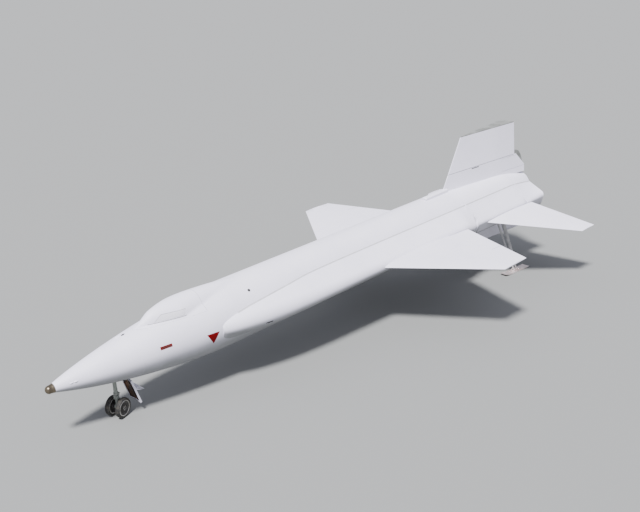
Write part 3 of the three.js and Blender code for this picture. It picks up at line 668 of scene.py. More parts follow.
# Columns: distance aft, half-width, height of the upper crease, depth of the lower crease, radius of the rounded
# edge, how far the middle of that edge lies below the body's axis.
FAIRING_LINES = [
    (3.69, 0.660, 0.040, 0.120, 0.182, 0.0), (3.80, 0.745, 0.140, 0.210, 0.190, 0.0),
    (4.05, 0.850, 0.215, 0.290, 0.220, 0.0), (4.45, 0.950, 0.270, 0.330, 0.245, 0.0),
    (5.00, 1.045, 0.310, 0.350, 0.260, 0.0), (5.70, 1.100, 0.355, 0.370, 0.245, 0.0),
    (6.40, 1.118, 0.400, 0.400, 0.220, 0.0), (8.20, 1.118, 0.412, 0.412, 0.182, 0.0),
    (11.80, 1.118, 0.405, 0.405, 0.182, 0.0), (12.50, 1.087, 0.405, 0.405, 0.182, 0.205),
    (14.00, 1.085, 0.405, 0.405, 0.182, 0.212), (14.60, 1.080, 0.405, 0.405, 0.182, 0.220),
    (15.20, 1.072, 0.340, 0.415, 0.205, 0.230), (15.75, 1.050, 0.245, 0.440, 0.250, 0.190),
]


def fairing_reach(x, turn):
    """Distance from the body's axis to the fairing: round at its edge, then flat up to each crease."""
    half, upper, lower, edge_radius, sink = fair(FAIRING_LINES, x)
    middle = Vector((half - edge_radius, -sink))
    way, crease = (1, upper) if turn >= atan2(middle.y, middle.x) else (-1, lower)
    rise = Vector((sqrt(body_radius(x) ** 2 - crease ** 2), way * crease)) - middle
    lean = atan2(rise.y, rise.x) - way * acos(min(1, edge_radius / rise.length))
    square = Vector((cos(lean), sin(lean)))
    touch = middle + square * edge_radius
    if way * turn < way * atan2(touch.y, touch.x):
        along = middle.dot((cos(turn), sin(turn)))
        return along + sqrt(max(0.0, edge_radius ** 2 - middle.length_squared + along ** 2))
    return square.dot(touch) / cos(min(0.0, way * (turn - lean)))


def over_fairing(x, turn):
    share = min(1, max(0, (x - FAIRING_START) / (FAIRING_FULL - FAIRING_START)))
    reach = joined(body_radius(x), fairing_reach(x, turn), FAIRING_BLEND * share + 1e-4)
    if x > FUEL_END:
        plane = TAIL_SIDE + (FAIRING_SIDE - TAIL_SIDE) * max(0, 1 - (x - FUEL_END) / FLAT_FROM)
        limit = (plane - TAIL_HEIGHT * sin(TAIL_DROOP)) / max(0.2, cos(turn + TAIL_DROOP))
        reach = -joined(-reach, -limit, FLAT_EASE)
    return reach


def fairing_edge(x, way):
    """The angle at which the fairing's feather edge lies on the body, above level or below it."""
    return foot_turn(lambda turn: over_fairing(x, way * turn) - body_radius(x) > FEATHER, 0.0, 1.3)


FAIRING_STEPS = 72
TAIL_PIVOT, BEARING_BORE, BEARING_INNER, BEARING_OUTER = 13.40, 0.048, 0.93, 1.028


def drooped(ring, side):
    """Leans a level ring down to one side about the tailplane's own line."""
    along, down = cos(TAIL_DROOP), sin(TAIL_DROOP)
    return [(x, side * (y * along + z * down), TAIL_HEIGHT - y * down + z * along) for x, y, z in ring]


for place_name, start, end in (("front", FAIRING_START + 0.015, OXIDISER_END),
                               ("mid", OXIDISER_END, FUEL_END), ("rear", FUEL_END, TAIL_END)):
    for side_name, side in SIDES:
        hoops = [to_side(saddle_hoop(x, -fairing_edge(x, -1), fairing_edge(x, 1), over_fairing, FAIRING_STEPS), side)
                 for x in spread(start + 2 * SKIN_GAP, end - SKIN_GAP, 0.05 if place_name == "front" else 0.12)]
        flank = skinned(f"flank_{place_name}_{side_name}", hoops)
        if place_name == "rear":
            ends = drooped([(TAIL_PIVOT, BEARING_INNER - 0.07, 0), (TAIL_PIVOT, BEARING_OUTER, 0)], side)
            carve(flank, turned("bearing_tool", plain_bar(0, 0.3, BEARING_BORE), *ends))
        fit(flank, white_coat, f"side_fairing_{place_name}_{side_name}")

# A grey bead laid in the crease where each fairing's upper edge meets the barrel is painted shade for the soft valley
# there.
crease_shade_paint = sprayed("crease_shade_paint", "white_paint", (0.55, 0.545, 0.58), (0.46, 0.455, 0.48), 0.20, 0.5, grit=0.6)
BEAD_HALF, BEAD_START = 0.016, 4.20
# Columns: place across the bead in half-widths, height above the skin.
BEAD_SHAPE = [(-1.0, -0.004), (-1.0, 0.0004), (-0.5, 0.0022), (0.5, 0.0022), (1.0, 0.0004), (1.0, -0.004)]
for side_name, side in SIDES:
    rings = []
    for x in spread(BEAD_START, TAIL_END - 0.02, 0.1):
        crease = asin(fair(FAIRING_LINES, x)[1] / body_radius(x))
        turns = [(crease + across_bead * BEAD_HALF / body_radius(x), lift) for across_bead, lift in BEAD_SHAPE]
        rings.append(to_side([polar(x, turn, over_fairing(x, turn) + lift) for turn, lift in turns], side))
    fit(skinned(f"crease_bead_{side_name}", rings), crease_shade_paint)


# Wings: thin stiff panels of alloy skin over spars, blunt at the rear, fixed to the fairings with a soft root fillet.
# Each has one plain flap inboard, hinged on its own nose inside a rounded cove.
# Columns: share of the chord, half-thickness as a share of the chord.
AEROFOIL = [
    (0.0, 0.0), (0.0012, 0.0017), (0.0040, 0.0031), (0.008, 0.0045), (0.05, 0.0115), (0.2, 0.021),
    (0.4, 0.025), (0.6, 0.0235), (0.8, 0.0145), (1.0, 0.005),
]
FOIL_STEPS = 44
WING_EDGE, WING_ROOT, WING_TIP, WING_SPAN = 7.602, 4.545, 0.908, 3.410
WING_SWEEP = tan(radians(36.75))
EDGE_RADIUS = 0.182
WING_MIDDLE = 1.118 - EDGE_RADIUS
FILLET, FILLET_LEAST, FILLET_STEPS = 0.090, 0.012, 7
# Shares of the chord over which the fillet grows at the front and shrinks again towards the rear.
FILLET_GROWTH, FILLET_GONE, FILLET_SHRINK = 0.12, 0.76, 0.3
TIP_EASE = ((0.012, 1.0), (0.004, 0.75), (0.0, 0.35))
HINGE, FLAP_INNER, FLAP_OUTER, ROOT_RELIEF, FLAP_SLOT = 11.0, 1.137, 2.480, 0.100, 0.012
FLAP_NOSE, FLAP_COVE, FLAP_REACH = 0.054, 0.061, 2.0

foil_shares = [(1 - cos(pi * i / FOIL_STEPS)) / 2 for i in range(FOIL_STEPS + 1)]


def foil_ring(edge, chord, span, thin=1.0):
    """A section's outline: aft along the top, then forward again along the underside."""
    top = [(edge + share * chord, span, thin * chord * fair(AEROFOIL, share)[0]) for share in foil_shares]
    return top + [(x, y, -z) for x, y, z in reversed(top[1:])]


def wing_chord(span):
    return WING_ROOT + (WING_TIP - WING_ROOT) * span / WING_SPAN


def root_ring(step):
    """One line of the root fillet, from the fairing's side at step 0 to the wing's skin at step 1."""
    top = []
    for share in foil_shares:
        rise = min(1, share / FILLET_GROWTH) * min(1, max(0, (FILLET_GONE - share) / FILLET_SHRINK))
        soft = FILLET_LEAST + (FILLET - FILLET_LEAST) * rise ** 2 * (3 - 2 * rise)
        half = wing_chord(1.13) * fair(AEROFOIL, share)[0]
        out = WING_MIDDLE + sqrt((EDGE_RADIUS + soft) ** 2 - (half + soft) ** 2)
        start = atan2(-(half + soft), WING_MIDDLE - out)
        turn = start + (-pi / 2 - start) * step
        y = out + soft * cos(turn)
        z = (half + soft + soft * sin(turn)) if share > 0 else 0
        top.append((WING_EDGE + y * WING_SWEEP + share * wing_chord(y), y, z))
    return top + [(x, y, -z) for x, y, z in reversed(top[1:])]


def hinge_outline(radius):
    nose = [(HINGE + radius * cos(turn), radius * sin(turn))
            for turn in (pi / 2 + pi * i / 24 for i in range(25))]
    return [(HINGE, 2 * radius), *nose, (HINGE, -2 * radius), (HINGE + FLAP_REACH, -2 * radius),
            (HINGE + FLAP_REACH, 2 * radius)]


def panel_rings(inner, span, step, edge, sweep, chord_at):
    """Sections of a swept panel from its root outwards, drawn thin over its last few millimetres."""
    places = [(y, 1) for y in spread(inner, span - TIP_EASE[0][0], step)]
    places += [(span - inset, thin) for inset, thin in TIP_EASE[1:]]
    return [foil_ring(edge + y * sweep, chord_at(y), y, thin) for y, thin in places]


for side_name, side in SIDES:
    rings = [root_ring(i / FILLET_STEPS) for i in range(FILLET_STEPS + 1)]
    rings += panel_rings(1.22, WING_SPAN, 0.30, WING_EDGE, WING_SWEEP, wing_chord)
    panel, flap = (skinned(name, [to_side(ring, side) for ring in rings])
                   for name in (f"wing_panel_{side_name}", f"wing_flap_{side_name}"))
    carve(panel, across("cove_tool", hinge_outline(FLAP_COVE), FLAP_INNER - ROOT_RELIEF, FLAP_OUTER + FLAP_SLOT, side))
    carve(flap, across("flap_tool", hinge_outline(FLAP_NOSE), FLAP_INNER, FLAP_OUTER, side), "INTERSECT")
    fit(panel, white_coat, f"wing_{side_name}")
    fit(flap, white_coat, f"flap_{side_name}", body=f"flap_{side_name}")


# Tailplanes: two all-moving panels that droop, each turning as one piece on a spindle out of the rear fairing.
# They are thin skin over spars like the wings, and a narrow gap keeps each clear of the fairing's flat.
TAIL_EDGE, TAIL_ROOT, TAIL_TIP, TAIL_SPAN = 11.685, 3.085, 0.643, 2.852
TAIL_SWEEP = tan(radians(49.1))
TAIL_GAP, SPINDLE, SPINDLE_INNER, SPINDLE_OUTER = 0.008, 0.042, 0.88, 1.20


def tail_chord(span):
    return TAIL_ROOT + (TAIL_TIP - TAIL_ROOT) * span / TAIL_SPAN


for side_name, side in SIDES:
    rings = panel_rings(TAIL_SIDE + TAIL_GAP, TAIL_SPAN, 0.25, TAIL_EDGE, TAIL_SWEEP, tail_chord)
    tailplane = skinned(f"tailplane_{side_name}", [drooped(ring, side) for ring in rings])
    ends = drooped([(TAIL_PIVOT, SPINDLE_INNER, 0), (TAIL_PIVOT, SPINDLE_OUTER, 0)], side)
    carve(tailplane, turned("spindle_tool", fillet_ends(SPINDLE_OUTER - SPINDLE_INNER, SPINDLE), *ends), "UNION")
    fit(tailplane, white_coat, f"stabiliser_{side_name}", body=f"stabiliser_{side_name}")


# Fins: wedges, thin at the front and blunt behind, above and below the engine section, with the rudder turning
# on a stock above the upper one and a speed brake let into each side of both.
FIN_EDGE, FIN_EDGE_HEIGHT, FIN_SWEEP, FIN_WEDGE = 12.144, 0.735, tan(radians(30)), tan(radians(5))
FIN_NOSE, FIN_FOOT, FIN_TOP, RUDDER_FOOT, RUDDER_TOP = 0.010, 0.56, 1.150, 1.164, 2.131
FIN_END, RUDDER_END, SLOPE_HEAD, SLOPE_FOOT, FIN_BOTTOM = 15.70, 15.24, 15.33, 0.770, -1.180
CAP_THICKNESS, EDGE_EASE = 0.022, 0.004
POST_X, POST_RADIUS, POST_BORE, POST_FOOT, POST_CLEARANCE = 13.90, 0.060, 0.066, 1.0, 0.020


def fin_ring(z, end, inset=0.0):
    """A level cut through the wedge, drawn in on every side by an inset."""
    edge = FIN_EDGE + (abs(z) - FIN_EDGE_HEIGHT) * FIN_SWEEP + inset
    nose = FIN_NOSE - min(inset, FIN_NOSE * 0.6)
    ring = []
    for turn in (pi / 2 + pi * i / 8 for i in range(9)):
        ring.append((edge + nose + nose * cos(turn), nose * sin(turn), z))
    half = nose + (end - inset - edge) * FIN_WEDGE
    return [(end - inset, half, z), *ring, (end - inset, -half, z)]


def fin_block(name, low, high, end, inset=0.0, eased_top=False, eased_foot=False):
    rings = [fin_ring(low + EDGE_EASE, end, inset), fin_ring(high - EDGE_EASE, end, inset)]
    if eased_foot:
        rings.insert(0, fin_ring(low, end, inset + EDGE_EASE))
    else:
        rings[0] = fin_ring(low, end, inset)
    if eased_top:
        rings.append(fin_ring(high, end, inset + EDGE_EASE))
    else:
        rings[-1] = fin_ring(high, end, inset)
    return skinned(name, rings)


def fin_heart(name, low, high, inset):
    """The wedge with its skin taken off both sides, but not off its ends."""
    rings = []
    for z in (low, high):
        edge = FIN_EDGE + (abs(z) - FIN_EDGE_HEIGHT) * FIN_SWEEP + inset / FIN_WEDGE
        end = FIN_END + 0.2
        near, far = 0.002, 0.002 + (end - edge) * FIN_WEDGE
        rings.append([(edge, near, z), (end, far, z), (end, -far, z), (edge, -near, z)])
    return skinned(name, rings)


BRAKE_FRONT, BRAKE_LOW, BRAKE_HIGH, BRAKE_SKIN, BRAKE_GAP = 14.69, 0.745, 1.125, 0.045, 0.008
slope_run = 2 * (FIN_END - SLOPE_HEAD)
slope_outline = [(SLOPE_HEAD, FIN_TOP), (SLOPE_HEAD + slope_run, 2 * SLOPE_FOOT - FIN_TOP),
                 (SLOPE_HEAD + slope_run, RUDDER_TOP), (SLOPE_HEAD, RUDDER_TOP)]


def brake_zone(up, side, margin=0.0):
    z = sorted((up * (BRAKE_LOW - margin), up * (BRAKE_HIGH + margin)))
    y = sorted((0, side * 0.8))
    return boxed("zone", (BRAKE_FRONT - margin, y[0], z[0]), (FIN_END + 0.1, y[1], z[1]))


# Columns: name of the solid, name of the fin, name for its brakes, low end, high end, way up.
for solid, name, place_name, low, high, up in (
        ("fin_fixed", "fin_root_panel", "upper", FIN_FOOT, FIN_TOP, 1),
        ("ventral_fin", "ventral_panel", "lower", FIN_BOTTOM, -FIN_FOOT, -1)):
    fin = fin_block(name, low, high, FIN_END, eased_top=up > 0, eased_foot=up < 0)
    if up > 0:
        carve(fin, across("slope_tool", slope_outline, -0.8, 0.8))
    for side_name, side in SIDES:
        brake = twin(fin, f"brake_{place_name}_{side_name}")
        carve(brake, brake_zone(up, side), "INTERSECT")
        carve(brake, fin_heart("heart", low - 0.1, high + 0.1, BRAKE_SKIN))
        body = f"speed_brake_{place_name}_{side_name}"
        fit(brake, white_coat, body, body=body)
    for _, side in SIDES:
        recess = brake_zone(up, side, BRAKE_GAP)
        carve(recess, fin_heart("heart", low - 0.1, high + 0.1, BRAKE_SKIN + BRAKE_GAP))
        carve(fin, recess)
    if up > 0:
        carve(fin, turned("post_tool", plain_bar(0, 1, POST_BORE), (POST_X, 0, POST_FOOT - POST_CLEARANCE),
                          (POST_X, 0, 3)))
    fit(fin, white_coat, solid)

rudder = fin_block("rudder_panel", RUDDER_FOOT, RUDDER_TOP - CAP_THICKNESS, RUDDER_END, eased_foot=True)
carve(rudder, turned("stock_tool", fillet_ends(RUDDER_FOOT - POST_FOOT + 0.05, POST_RADIUS),
                     (POST_X, 0, POST_FOOT), (POST_X, 0, 3)), "UNION")
fit(rudder, white_coat, "rudder", body="rudder")

bare_metal = worked("bare_metal", "grey_paint", (0.30, 0.31, 0.29), (0.17, 0.175, 0.16), 40, 4, 0.4, bump=0.2,
                    metallic=0.3)
cap = fin_block("rudder_cap", RUDDER_TOP - CAP_THICKNESS + SKIN_GAP, RUDDER_TOP, RUDDER_END, inset=0.001,
                eased_top=True)
fit(cap, bare_metal, body="rudder")

CORE_HALF, CORE_EASE = 0.235, 0.006
core_side = [(15.281, 1.1505), (15.3305, 1.1505), (15.7005, 0.7705), (15.694, 0.90), (15.668, 0.975), (15.640, 1.035),
             (15.600, 1.105), (15.545, 1.175), (15.480, 1.220), (15.400, 1.252), (15.290, 1.285), (15.281, 1.280)]
core_x, core_z = 15.47, 1.06
core = skinned("fin_slope_block", [
    [(core_x + (x - core_x) * share, y, core_z + (z - core_z) * share) for x, z in core_side]
    for y, share in ((-CORE_HALF, 0.975), (-CORE_HALF + CORE_EASE, 0.998),
                     (CORE_HALF - CORE_EASE, 0.998), (CORE_HALF, 0.975))], sharp=28)
for y in (-0.080, 0.080):
    carve(core, boxed("seam_tool", (15.1, y - 0.002, 0.5), (15.9, y + 0.002, 1.4)))
fit(core, bare_metal, "fin_tail_core")

RIDGE_START, RIDGE_END, RIDGE_HALF, RIDGE_TOP_HALF = 11.35, 12.30, 0.078, 0.050
ridge = []
for x in (RIDGE_START, RIDGE_START + 0.02, *spread(11.5, RIDGE_END, 0.2)):
    rise = BODY_RADIUS + 0.072 + 0.018 * (x - RIDGE_START) / 1.05
    if x == RIDGE_START:
        rise -= 0.02
    half = [(-RIDGE_HALF, 0.68), (-RIDGE_HALF + 0.004, rise - 0.022), (-RIDGE_TOP_HALF - 0.010, rise - 0.006),
            (-RIDGE_TOP_HALF + 0.012, rise)]
    ridge.append([(x, y, z) for y, z in half] + [(x, -y, z) for y, z in reversed(half)])
fit(skinned("fin_foot_ridge", ridge), white_coat, "fin_ridge")


# Rocket: one engine on the body's axis, a block of pumps and chamber ahead of a bell nozzle.
# The bell is brazed from slim cooling tubes laid side by side and held by bands, browned by heat.
NOZZLE_THROAT, NOZZLE_EXIT, THROAT_RADIUS, EXIT_RADIUS, BELL_WALL = 14.99, 15.80, 0.130, 0.462, 0.010
BELL_TUBES, TUBE_RELIEF, BELL_STEPS = 96, 0.0016, 30
BAND_HALF = 0.012
hot_alloy = worked("hot_alloy", "nickel_alloy", (0.30, 0.27, 0.24), (0.13, 0.11, 0.10), 30, 5, 0.35, bump=0.25,
                   metallic=0.9)


def bell_radius(share):
    return THROAT_RADIUS + (EXIT_RADIUS - THROAT_RADIUS) * sin(share * pi / 2) ** 0.85


def bell_hoop(share, radius, fluted):
    """A ring of the bell, pressed in between its tubes on the outside and out between them on the inside."""
    x, hoop = NOZZLE_THROAT + (NOZZLE_EXIT - NOZZLE_THROAT) * share, []
    for turn in round_turns(BELL_TUBES * 4):
        reach = radius - fluted * abs(sin(BELL_TUBES * turn / 2)) * TUBE_RELIEF
        hoop.append((x, reach * cos(turn), reach * sin(turn)))
    return hoop


shares = [(i / BELL_STEPS) ** 1.3 for i in range(BELL_STEPS + 1)]
inside = [bell_hoop(share, bell_radius(share), -1) for share in shares]
outside = [bell_hoop(share, bell_radius(share) + BELL_WALL, 1) for share in reversed(shares)]
bell = skinned("nozzle_bell", inside + outside, round_trip=True, sharp=50)
stand(bell)
fit(bell, hot_alloy, "nozzle")
for i, share in enumerate((0.16, 0.42, 0.68, 0.985)):
    x = (NOZZLE_EXIT - NOZZLE_THROAT) * share
    radius = bell_radius(share) + BELL_WALL
    lean = (bell_radius(share) - bell_radius(share - 0.02)) / 0.02 * BAND_HALF / (NOZZLE_EXIT - NOZZLE_THROAT)
    lip = 0.0016 if share > 0.9 else 0.008
    band = turned(f"nozzle_band_{i}", [
        (x - BAND_HALF, radius - lean - 0.002), (x - BAND_HALF + 0.001, radius - lean + lip),
        (x + BAND_HALF - 0.001, radius + lean + lip), (x + BAND_HALF, radius + lean - 0.002)],
        (NOZZLE_THROAT, 0, 0), (NOZZLE_EXIT, 0, 0), count=BELL_TUBES, closed=True)
    stand(band)
    fit(band, hot_alloy)

engine_outline = [
    (0, 0), (0, 0.300), (0.004, 0.310), (0.12, 0.310), (0.124, 0.340), (0.160, 0.340), (0.164, 0.300),
    (0.40, 0.300), (0.42, 0.330), (0.56, 0.330), (0.58, 0.270), (0.70, 0.235), (0.88, 0.170), (0.93, 0.165),
    (0.934, 0.200), (0.960, 0.200), (0.964, 0.150), (1.075, 0.132), (1.075, 0),
]
fit(turned("engine_core", engine_outline, (13.885, 0, 0), (15, 0, 0), count=64), hot_alloy, "engine_block")


def smooth_route(route, steps):
    """A smooth line through a few points, and its direction at each place."""
    points = [Vector(point) for point in route]
    ends = [2 * points[0] - points[1], *points, 2 * points[-1] - points[-2]]
    line = []
    for a, b, c, d in zip(ends, ends[1:], ends[2:], ends[3:]):
        for t in (i / steps for i in range(steps)):
            line.append(0.5 * (2 * b + (c - a) * t + (2 * a - 5 * b + 4 * c - d) * t ** 2
                               + (3 * b - a - 3 * c + d) * t ** 3))
    line.append(points[-1])
    last = len(line) - 1
    return [(point, (line[min(i + 1, last)] - line[max(i - 1, 0)]).normalized()) for i, point in enumerate(line)]


def piped(name, route, radius, count=12):
    """A pipe bent smoothly through a few points."""
    hoops, side = [], None
    for point, aim in smooth_route(route, 8):
        side = aim.orthogonal().normalized() if side is None else (side - aim * side.dot(aim)).normalized()
        hoops.append(ring_round(point, side, aim.cross(side), radius, count))
    return skinned(name, hoops)


def outward(turn):
    """The direction straight out from the body's axis, at an angle above level."""
    return Vector((0, cos(turn), sin(turn)))


# Columns: angle round the engine, start aft, end aft, how far the pipe bows out, radius.
for i, (turn, start, end, bow, radius) in enumerate((
        (20, 14.02, 14.80, 0.400, 0.028), (75, 14.00, 14.60, 0.390, 0.020), (130, 14.05, 14.78, 0.410, 0.030),
        (200, 14.00, 14.70, 0.395, 0.022), (255, 14.04, 14.80, 0.405, 0.026), (310, 14.00, 14.55, 0.385, 0.018))):
    away = outward(radians(turn))
    route = [(start, *(away * 0.30).yz), (start + 0.03, *(away * bow).yz), ((start + end) / 2, *(away * bow).yz),
             (end - 0.06, *(away * (bow - 0.06)).yz), (end, *(away * 0.20).yz)]
    fit(piped(f"engine_pipe_{i}", route, radius), hot_alloy)


# Nose gear: a sprung leg in the open well, with a twin-wheel fork that casters below it.
# The leg and fork are painted grey-green, the sliding rod is bright, and a pair of torque links joins the two.
LEG_X, LEG_TOP, LEG_FOOT, ROD_RADIUS = 1.445, -0.1303, -0.7497, 0.029
WHEEL_RADIUS, WHEEL_TRACK = 0.213, 0.252
GROUND_AT_TIP = -1.173
CASTER = Matrix.Rotation(radians(21), 4, "Z")


def ground_at(x):
    """The height of the ground at a distance aft, in the tipped airframe."""
    return GROUND_AT_TIP - x * tan(NOSE_DOWN)


AXLE_HEIGHT = ground_at(LEG_X) + WHEEL_RADIUS / cos(NOSE_DOWN)
gear_paint = sprayed("gear_paint", "grey_paint", (0.26, 0.285, 0.25), (0.17, 0.185, 0.165), 0.09, 0.42, bump=0.4)
bright_steel = worked("bright_steel", "skid_steel", (0.72, 0.71, 0.69), (0.45, 0.43, 0.40), 120, 14, 0.12, bump=0.1,
                      metallic=0.95, depth=0.0004)


def down_leg(name, outline, count=48):
    """Spins an outline of (height, radius) about the leg's own line."""
    return turned(name, [(-height, radius) for height, radius in outline], (LEG_X, 0, 0), (LEG_X, 0, -1), count)


leg = down_leg("gear_leg", [
    (LEG_TOP, 0), (LEG_TOP, 0.039), (LEG_TOP - 0.004, 0.042), (-0.200, 0.042), (-0.203, 0.047), (-0.250, 0.047),
    (-0.253, 0.040), (-0.630, 0.040), (-0.634, 0.0445), (-0.658, 0.0445), (-0.662, 0.040), (-0.685, 0.040),
    (-0.688, 0.0435), (-0.7115, 0.0435), (-0.7140, 0.038), (-0.7480, 0.038), (LEG_FOOT, 0.0365), (LEG_FOOT, 0)])
fit(leg, gear_paint, "nose_leg")
for i, (height, half) in enumerate(((-0.225, 0.165), (-0.165, 0.120))):
    start = (LEG_X, -half, height)
    fit(turned(f"leg_trunnion_{i}", fillet_ends(2 * half, 0.019), start, (LEG_X, half, height)), gear_paint)

fit(down_leg("gear_rod", plain_bar(-0.7502, -0.820, ROD_RADIUS)), bright_steel, "nose_fork", body="nose_fork")

AT_LEG = LEVEL @ Matrix.Translation((LEG_X, 0, 0)) @ CASTER
AT_AXLE = Matrix.Translation(LEVEL @ Vector((LEG_X, 0, AXLE_HEIGHT))) @ CASTER
block = []
for height, fore, half in (
        (-0.7702, 0.038, 0.040), (-0.777, 0.043, 0.048), (-0.786, 0.045, 0.050), (-0.852, 0.045, 0.050),
        (-0.864, 0.041, 0.044), (-0.878, 0.033, 0.034), (-0.970, 0.031, 0.032), (-0.992, 0.036, 0.042),
        (-1.015, 0.044, 0.054), (AXLE_HEIGHT - 0.028, 0.036, 0.055)):
    ring = []
    for turn in round_turns(32, 0.5):
        bulge = 1 / (cos(turn) ** 4 + sin(turn) ** 4) ** 0.25
        ring.append((fore * bulge * cos(turn), half * bulge * sin(turn), height))
    block.append(ring)
fork = skinned("fork_forging", block, lie=AT_LEG)
carve(fork, turned("lug_tool", fillet_ends(0.116, 0.050), (0, -0.058, 0), (0, 0.058, 0), lie=AT_AXLE), "UNION")
carve(fork, turned("bore_tool", plain_bar(0, 0.2, 0.024), (0, -0.1, 0), (0, 0.1, 0), lie=AT_AXLE))
fit(fork, gear_paint, "nose_fork", body="nose_fork")

collar = turned("link_collar", [
    (0, 0.0395), (0, 0.052), (0.003, 0.055), (0.025, 0.055), (0.028, 0.052), (0.028, 0.0395)],
    (LEG_X, 0, -0.716), (LEG_X, 0, -0.8), closed=True)
fit(collar, gear_paint, body="nose_fork")
KNEE = (0.100, -0.774)
for name, (x, height), reach in (("torque_link_upper", (0.050, -0.730), 0.022),
                                 ("torque_link_lower", (0.042, -0.822), 0.026)):
    root, knee = Vector((x, 0, height)), Vector((KNEE[0], 0, KNEE[1]))
    along = (knee - root).normalized()
    over = along.cross(Vector((0, 1, 0))).normalized()
    rings = []
    for share, half, thick in ((-0.05, reach, 0.006), (0.0, reach, 0.009), (0.12, reach * 0.95, 0.009),
                               (0.9, 0.014, 0.007), (1.0, 0.013, 0.009), (1.06, 0.012, 0.007)):
        middle = root.lerp(knee, share)
        corners = [(-half, -thick), (half, -thick), (half, thick), (-half, thick)]
        rings.append([middle + Vector((0, y, 0)) + over * lift for y, lift in corners])
    link = skinned(name, rings, lie=AT_LEG)
    carve(link, skinned("window", [[root.lerp(knee, share) + Vector((0, y * half, 0)) + over * lift
                                    for share, y in ((0.3, -1), (0.3, 1), (0.72, 0.4), (0.72, -0.4))]
                                   for lift, half in ((-0.05, reach * 0.55), (0.05, reach * 0.55))], lie=AT_LEG))
    fit(link, gear_paint, body="nose_fork")
fit(turned("knee_pin", fillet_ends(0.044, 0.009), (KNEE[0], -0.022, KNEE[1]), (KNEE[0], 0.022, KNEE[1]), count=24,
           lie=AT_LEG), bright_steel, body="nose_fork")


# Nose wheels: a pair on one axle, thin black tyres with ribbed treads on cast wheels.
# Each wheel's disc is painted near-black, partly its own dark finish and partly painted shade for its dish, and only
# its turned flange stays bright.
black_rubber = sprayed("black_rubber", "tyre_rubber", (0.014, 0.014, 0.014), (0.066, 0.060, 0.048), 0.06, 0.72,
                       streaks=0.6, grit=0.9, bump=0.5)
cast_wheel = worked("cast_wheel", "skid_steel", (0.80, 0.79, 0.76), (0.45, 0.42, 0.37), 90, 16, 0.22, bump=0.2,
                    metallic=0.85, depth=0.0006)
dark_disc_and_shade = sprayed("dark_disc_and_shade", "skid_steel", (0.040, 0.037, 0.033), (0.022, 0.020, 0.018), 0.05, 0.5)
DISC_EDGE = 0.150
# Columns: distance from the tyre's middle, radius.
TYRE_HALF = [
    (0.0380, 0.1650), (0.0445, 0.1695), (0.0492, 0.1780), (0.0500, 0.1855), (0.0480, 0.1950), (0.0430, 0.2030),
    (0.0350, 0.2080), (0.0265, 0.2108), (0.0260, 0.2068), (0.0225, 0.2068), (0.0220, 0.2118), (0.0110, 0.2128),
    (0.0105, 0.2080), (0.0070, 0.2080), (0.0065, 0.2130),
]
# Columns: distance from the wheel's middle, radius.
RIM_HALF = [
    (0.0500, 0.0), (0.0500, 0.0200), (0.0470, 0.0260), (0.0470, 0.0480), (0.0420, 0.0530), (0.0220, 0.0600),
    (0.0180, 0.0720), (0.0180, 0.1030), (0.0240, 0.1250), (0.0360, 0.1440), (0.0430, 0.1500), (0.0455, 0.1560),
    (0.0430, 0.1620), (0.0385, 0.1645),
]


def both_faces(half):
    return [(-out, radius) for out, radius in half] + [(out, radius) for out, radius in reversed(half)]


def painted_where(piece, finish, chosen):
    """Gives a second finish to those faces whose middle and facing pass a test."""
    piece.data.materials.append(finish)
    for face in piece.data.polygons:
        if chosen(face.center, face.normal):
            face.material_index = len(piece.data.materials) - 1


def on_axle(name, outline, place, count=96, closed=False):
    return turned(name, outline, (0, place, 0), (0, place + 1, 0), count, closed=closed, lie=AT_AXLE)


def studded(name, spots, aim, radius, height, lie=None):
    """Hexagon bolt heads on washers, all standing the same way, as one piece."""
    aim = Vector(aim).normalized()
    side, other = beside(aim)
    form = bmesh.new()
    for spot in spots:
        for reach, low, high, count in ((1.45, -0.3, 0.22, 16), (1.0, 0.1, 1.0, 6)):
            stitch(form, [ring_round(Vector(spot) + aim * level * height, side, other, radius * reach * draw, count)
                          for level, draw in ((low, 1.0), (high - 0.12, 1.0), (high, 0.86))])
    return settle(form, name, lie=lie)


HOLES, HOLE_CIRCLE, HOLE_RADIUS = 9, 0.088, 0.0125
BOLTS, BOLT_CIRCLE, HUB_FACE = 6, 0.037, 0.047
fit(on_axle("wheel_axle", plain_bar(-0.172, 0.172, 0.020), 0), bright_steel, "nose_wheel_rims", body="nose_wheels")
for side_name, side in SIDES:
    place = side * WHEEL_TRACK / 2
    fit(on_axle(f"tyre_{side_name}", both_faces(TYRE_HALF), place, count=128, closed=True), black_rubber,
        f"nose_tyre_{side_name}", body="nose_wheels")
    rim = on_axle(f"wheel_{side_name}", both_faces(RIM_HALF), place)
    for turn in round_turns(HOLES):
        x, z = HOLE_CIRCLE * cos(turn), HOLE_CIRCLE * sin(turn)
        carve(rim, turned("hole", plain_bar(-0.1, 0.1, HOLE_RADIUS), (x, place, z), (x, place + 1, z), count=24,
                          lie=AT_AXLE))
    fit(rim, cast_wheel, "nose_wheel_rims", body="nose_wheels")
    # The disc's faces take the near-black paint, partly painted shade.
    painted_where(rim, dark_disc_and_shade, lambda centre, facing: hypot(centre.x, centre.z) < DISC_EDGE)
    spots = [(BOLT_CIRCLE * cos(turn), place + side * HUB_FACE, BOLT_CIRCLE * sin(turn)) for turn in round_turns(BOLTS)]
    fit(studded(f"wheel_bolts_{side_name}", spots, (0, side, 0), 0.0055, 0.006, lie=AT_AXLE), bright_steel,
        body="nose_wheels")


# Nose gear door: hangs behind the leg, a curved white skin over a brown-primed pan with pressed stiffeners,
# with a scoop plate propped out of its rear face.
DOOR = Matrix.Translation(Vector((1.712, 0, -0.512))) @ Matrix.Rotation(radians(-16), 4, "Y")
DOOR_LENGTH, DOOR_HALF, DOOR_THICK, DOOR_BOW = 0.585, 0.200, 0.040, 0.016
brown_primer = sprayed("brown_primer_coat", "brown_primer", (0.022, 0.013, 0.010), (0.13, 0.060, 0.024), 0.10, 0.5,
                       streaks=0.6, bump=0.4)


